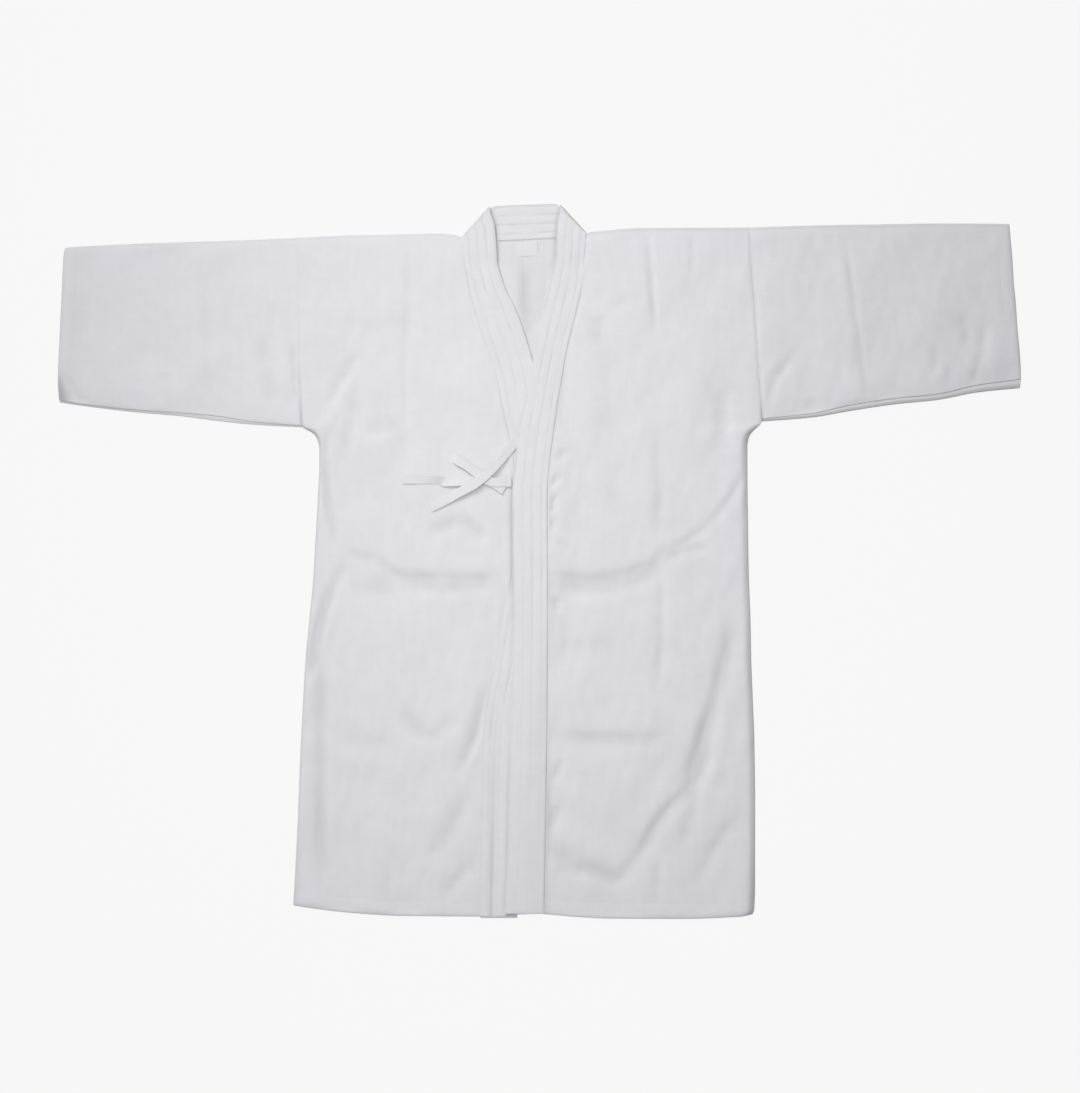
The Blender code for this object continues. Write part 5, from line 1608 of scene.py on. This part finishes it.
def camera_above(stage):
    """Camera straight above the jacket, which frames it as the picture does."""
    data = bpy.data.cameras.new("camera")
    data.sensor_fit = "AUTO"
    data.sensor_width = 36.0
    data.lens = data.sensor_width * (stage.camera_height - VIEW_LEVEL) / max(VIEW_SIZE)
    camera = place_object("camera", data)
    camera.location = (*VIEW_CENTRE, stage.camera_height)
    bpy.context.scene.camera = camera


def metres(name, description, default, low, high, digits=4):
    """Setting for a length in metres."""
    return FloatProperty(name=name, description=description, default=default, min=low, max=high,
                         subtype="DISTANCE", precision=digits)


def colour_of(name, description, default):
    """Setting for a colour."""
    return FloatVectorProperty(name=name, description=description, size=3, default=default, min=0.0, max=1.0,
                               subtype="COLOR")


def strength(name, description, default, high, **kind):
    """Setting that starts at 0."""
    return FloatProperty(name=name, description=description, default=default, min=0.0, max=high, **kind)


class JacketSizes(bpy.types.PropertyGroup):
    """Sizes and colours of the jacket that a maker would change."""
    cloth_thickness: metres("Cloth", "Thickness of the body and sleeve cloth", 0.0013, 0.0006, 0.0018)
    band_thickness: metres("Band", "Thickness of the folded collar band", 0.0026, 0.002, 0.0034)
    tape_thickness: metres("Tie", "Thickness of the tie strips", 0.0009, 0.0006, 0.0016)
    label_thickness: metres("Label", "Thickness of the neck label", 0.0006, 0.0003, 0.001)
    cell: metres("Cell", "Spacing of the cloth's mesh away from its edges", 0.0036, 0.002, 0.02)
    fold_depth: strength("Fold depth", "Factor on the depth of every fold", 1.0, 1.5, subtype="FACTOR")
    unevenness: metres("Unevenness", "Height of the soft waves all over the cloth", 0.001, 0.0, 0.002, 5)
    fine_unevenness: metres("Fine unevenness", "Height of the fine waves among them", 0.0002, 0.0, 0.001, 5)
    stitch_length: metres("Stitch", "Length of one stitch", 0.0027, 0.001, 0.006)
    stitch_pitch: metres("Pitch", "Distance from one stitch to the next", 0.0036, 0.0015, 0.01)
    thread_width: metres("Thread", "Width of the sewing thread", 0.0006, 0.0002, 0.0015, 5)
    thread_height: metres("Thread rise", "How far a stitch stands over the cloth", 0.0005, 0.0002, 0.001, 5)
    cloth_colour: colour_of("Cotton", "Colour of the white cotton", (0.80, 0.795, 0.83))
    thread_colour: colour_of("Thread colour", "Colour of the sewing thread", (0.80, 0.795, 0.82))
    label_colour: colour_of("Label colour", "Colour of the blank neck label", (0.785, 0.78, 0.82))


class JacketStage(bpy.types.PropertyGroup):
    """Floor, lights and camera."""
    floor_size: metres("Floor", "Side of the square floor", 30.0, 2.0, 100.0, 2)
    floor_tone: strength("Floor tone", "How much light the floor throws back", 0.03, 1.0, subtype="FACTOR")
    floor_glow: strength("Floor glow", "Even tone that the floor gives off", 0.91, 2.0)
    key_power: strength("Key light", "Power of the soft box over the chest", 5.6, 500.0, unit="POWER")
    side_power: strength("Side light", "Strength of the low light from the upper left", 1.3, 10.0)
    fill_power: strength("Fill", "Strength of the even light from all round", 0.28, 3.0)
    camera_height: metres("Camera height", "Height of the camera over the floor", 3.0, 1.0, 20.0, 2)


class JACKET_OT_stage(bpy.types.Operator):
    """Make the floor, the soft lights and the camera"""
    bl_idname = "jacket.stage"
    bl_label = "Stage"

    def execute(self, context):
        stage = context.scene.jacket_stage
        plain_floor(stage)
        soft_light("key", KEY_PLACE, KEY_SIZE, stage.key_power)
        low_light("side", SIDE_FROM, stage.side_power, SIDE_WIDTH)
        world = bpy.data.worlds.new("studio")
        world.use_nodes = True
        set_inputs(world.node_tree.nodes["Background"],
                   {"Color": WORLD_COLOUR, "Strength": stage.fill_power})
        context.scene.world = world
        context.scene.view_settings.view_transform = "Standard"
        camera_above(stage)
        return {"FINISHED"}


class JACKET_OT_body(bpy.types.Operator):
    """Make the two body halves, each front and back in one length"""
    bl_idname = "jacket.body"
    bl_label = "Body halves"

    def execute(self, context):
        sizes = context.scene.jacket_sizes
        for side in ("right", "left"):
            piece = body_half(side, sizes, finishes(sizes)["jacket_cotton"])
        return {"FINISHED"}


class JACKET_OT_sleeves(bpy.types.Operator):
    """Make the two sleeves, each a flattened tube"""
    bl_idname = "jacket.sleeves"
    bl_label = "Sleeves"

    def execute(self, context):
        sizes = context.scene.jacket_sizes
        for side in ("right", "left"):
            piece = sleeve(side, sizes, finishes(sizes)["jacket_cotton"])
        return {"FINISHED"}


class JACKET_OT_band(bpy.types.Operator):
    """Make the collar band from hem to hem"""
    bl_idname = "jacket.band"
    bl_label = "Collar band"

    def execute(self, context):
        sizes = context.scene.jacket_sizes
        piece = collar_band(sizes, finishes(sizes)["jacket_band"])
        return {"FINISHED"}


class JACKET_OT_bow(bpy.types.Operator):
    """Make the two ties and the bow that they are tied in"""
    bl_idname = "jacket.bow"
    bl_label = "Bow"

    def execute(self, context):
        sizes = context.scene.jacket_sizes
        for name, length in (("tie_left", 0.145), ("tie_right", 0.42)):
            piece = tie(name, sizes, finishes(sizes)["jacket_tape"])
        return {"FINISHED"}


class JACKET_OT_label(bpy.types.Operator):
    """Make the blank neck label"""
    bl_idname = "jacket.label"
    bl_label = "Neck label"

    def execute(self, context):
        sizes = context.scene.jacket_sizes
        piece = neck_label(sizes, finishes(sizes)["jacket_label"])
        return {"FINISHED"}


class JACKET_OT_stitching(bpy.types.Operator):
    """Sew the rows that the other pieces have marked: hems, cuffs, band, ties and label"""
    bl_idname = "jacket.stitching"
    bl_label = "Stitching"

    def execute(self, context):
        sizes = context.scene.jacket_sizes
        if not STITCH_ROWS:
            raise RuntimeError("make the cloth pieces before the stitching")
        tree = stitch_tree(finishes(sizes)["sewing_thread"])
        for name, runs in STITCH_ROWS.items():
            stitches(name, runs, tree, sizes, STITCH_SLOTS[name])
        STITCH_ROWS.clear()
        return {"FINISHED"}


class JACKET_PT_panel(bpy.types.Panel):
    """Sizes, colours and steps of the jacket"""
    bl_label = "Kendo jacket"
    bl_idname = "JACKET_PT_panel"
    bl_space_type = "VIEW_3D"
    bl_region_type = "UI"
    bl_category = "Jacket"

    def draw(self, context):
        layout = self.layout
        for group in (context.scene.jacket_sizes, context.scene.jacket_stage):
            box = layout.box()
            for name in type(group).__annotations__:
                box.prop(group, name)
        for step in STEPS:
            layout.operator(step.bl_idname)


STEPS = (JACKET_OT_stage, JACKET_OT_body, JACKET_OT_sleeves, JACKET_OT_band, JACKET_OT_bow, JACKET_OT_label,
         JACKET_OT_stitching)
CLASSES = (JacketSizes, JacketStage) + STEPS + (JACKET_PT_panel,)


def register():
    """Adds the settings, the steps and the panel."""
    for made in CLASSES:
        bpy.utils.register_class(made)
    bpy.types.Scene.jacket_sizes = PointerProperty(type=JacketSizes)
    bpy.types.Scene.jacket_stage = PointerProperty(type=JacketStage)


def unregister():
    """Takes them away again."""
    del bpy.types.Scene.jacket_sizes
    del bpy.types.Scene.jacket_stage
    for made in reversed(CLASSES):
        bpy.utils.unregister_class(made)


def main():
    """Makes the stage and every piece."""
    register()
    bpy.ops.jacket.stage()
    bpy.ops.jacket.body()
    bpy.ops.jacket.sleeves()
    bpy.ops.jacket.band()
    bpy.ops.jacket.bow()
    bpy.ops.jacket.label()
    bpy.ops.jacket.stitching()


if __name__ == "__main__":
    main()
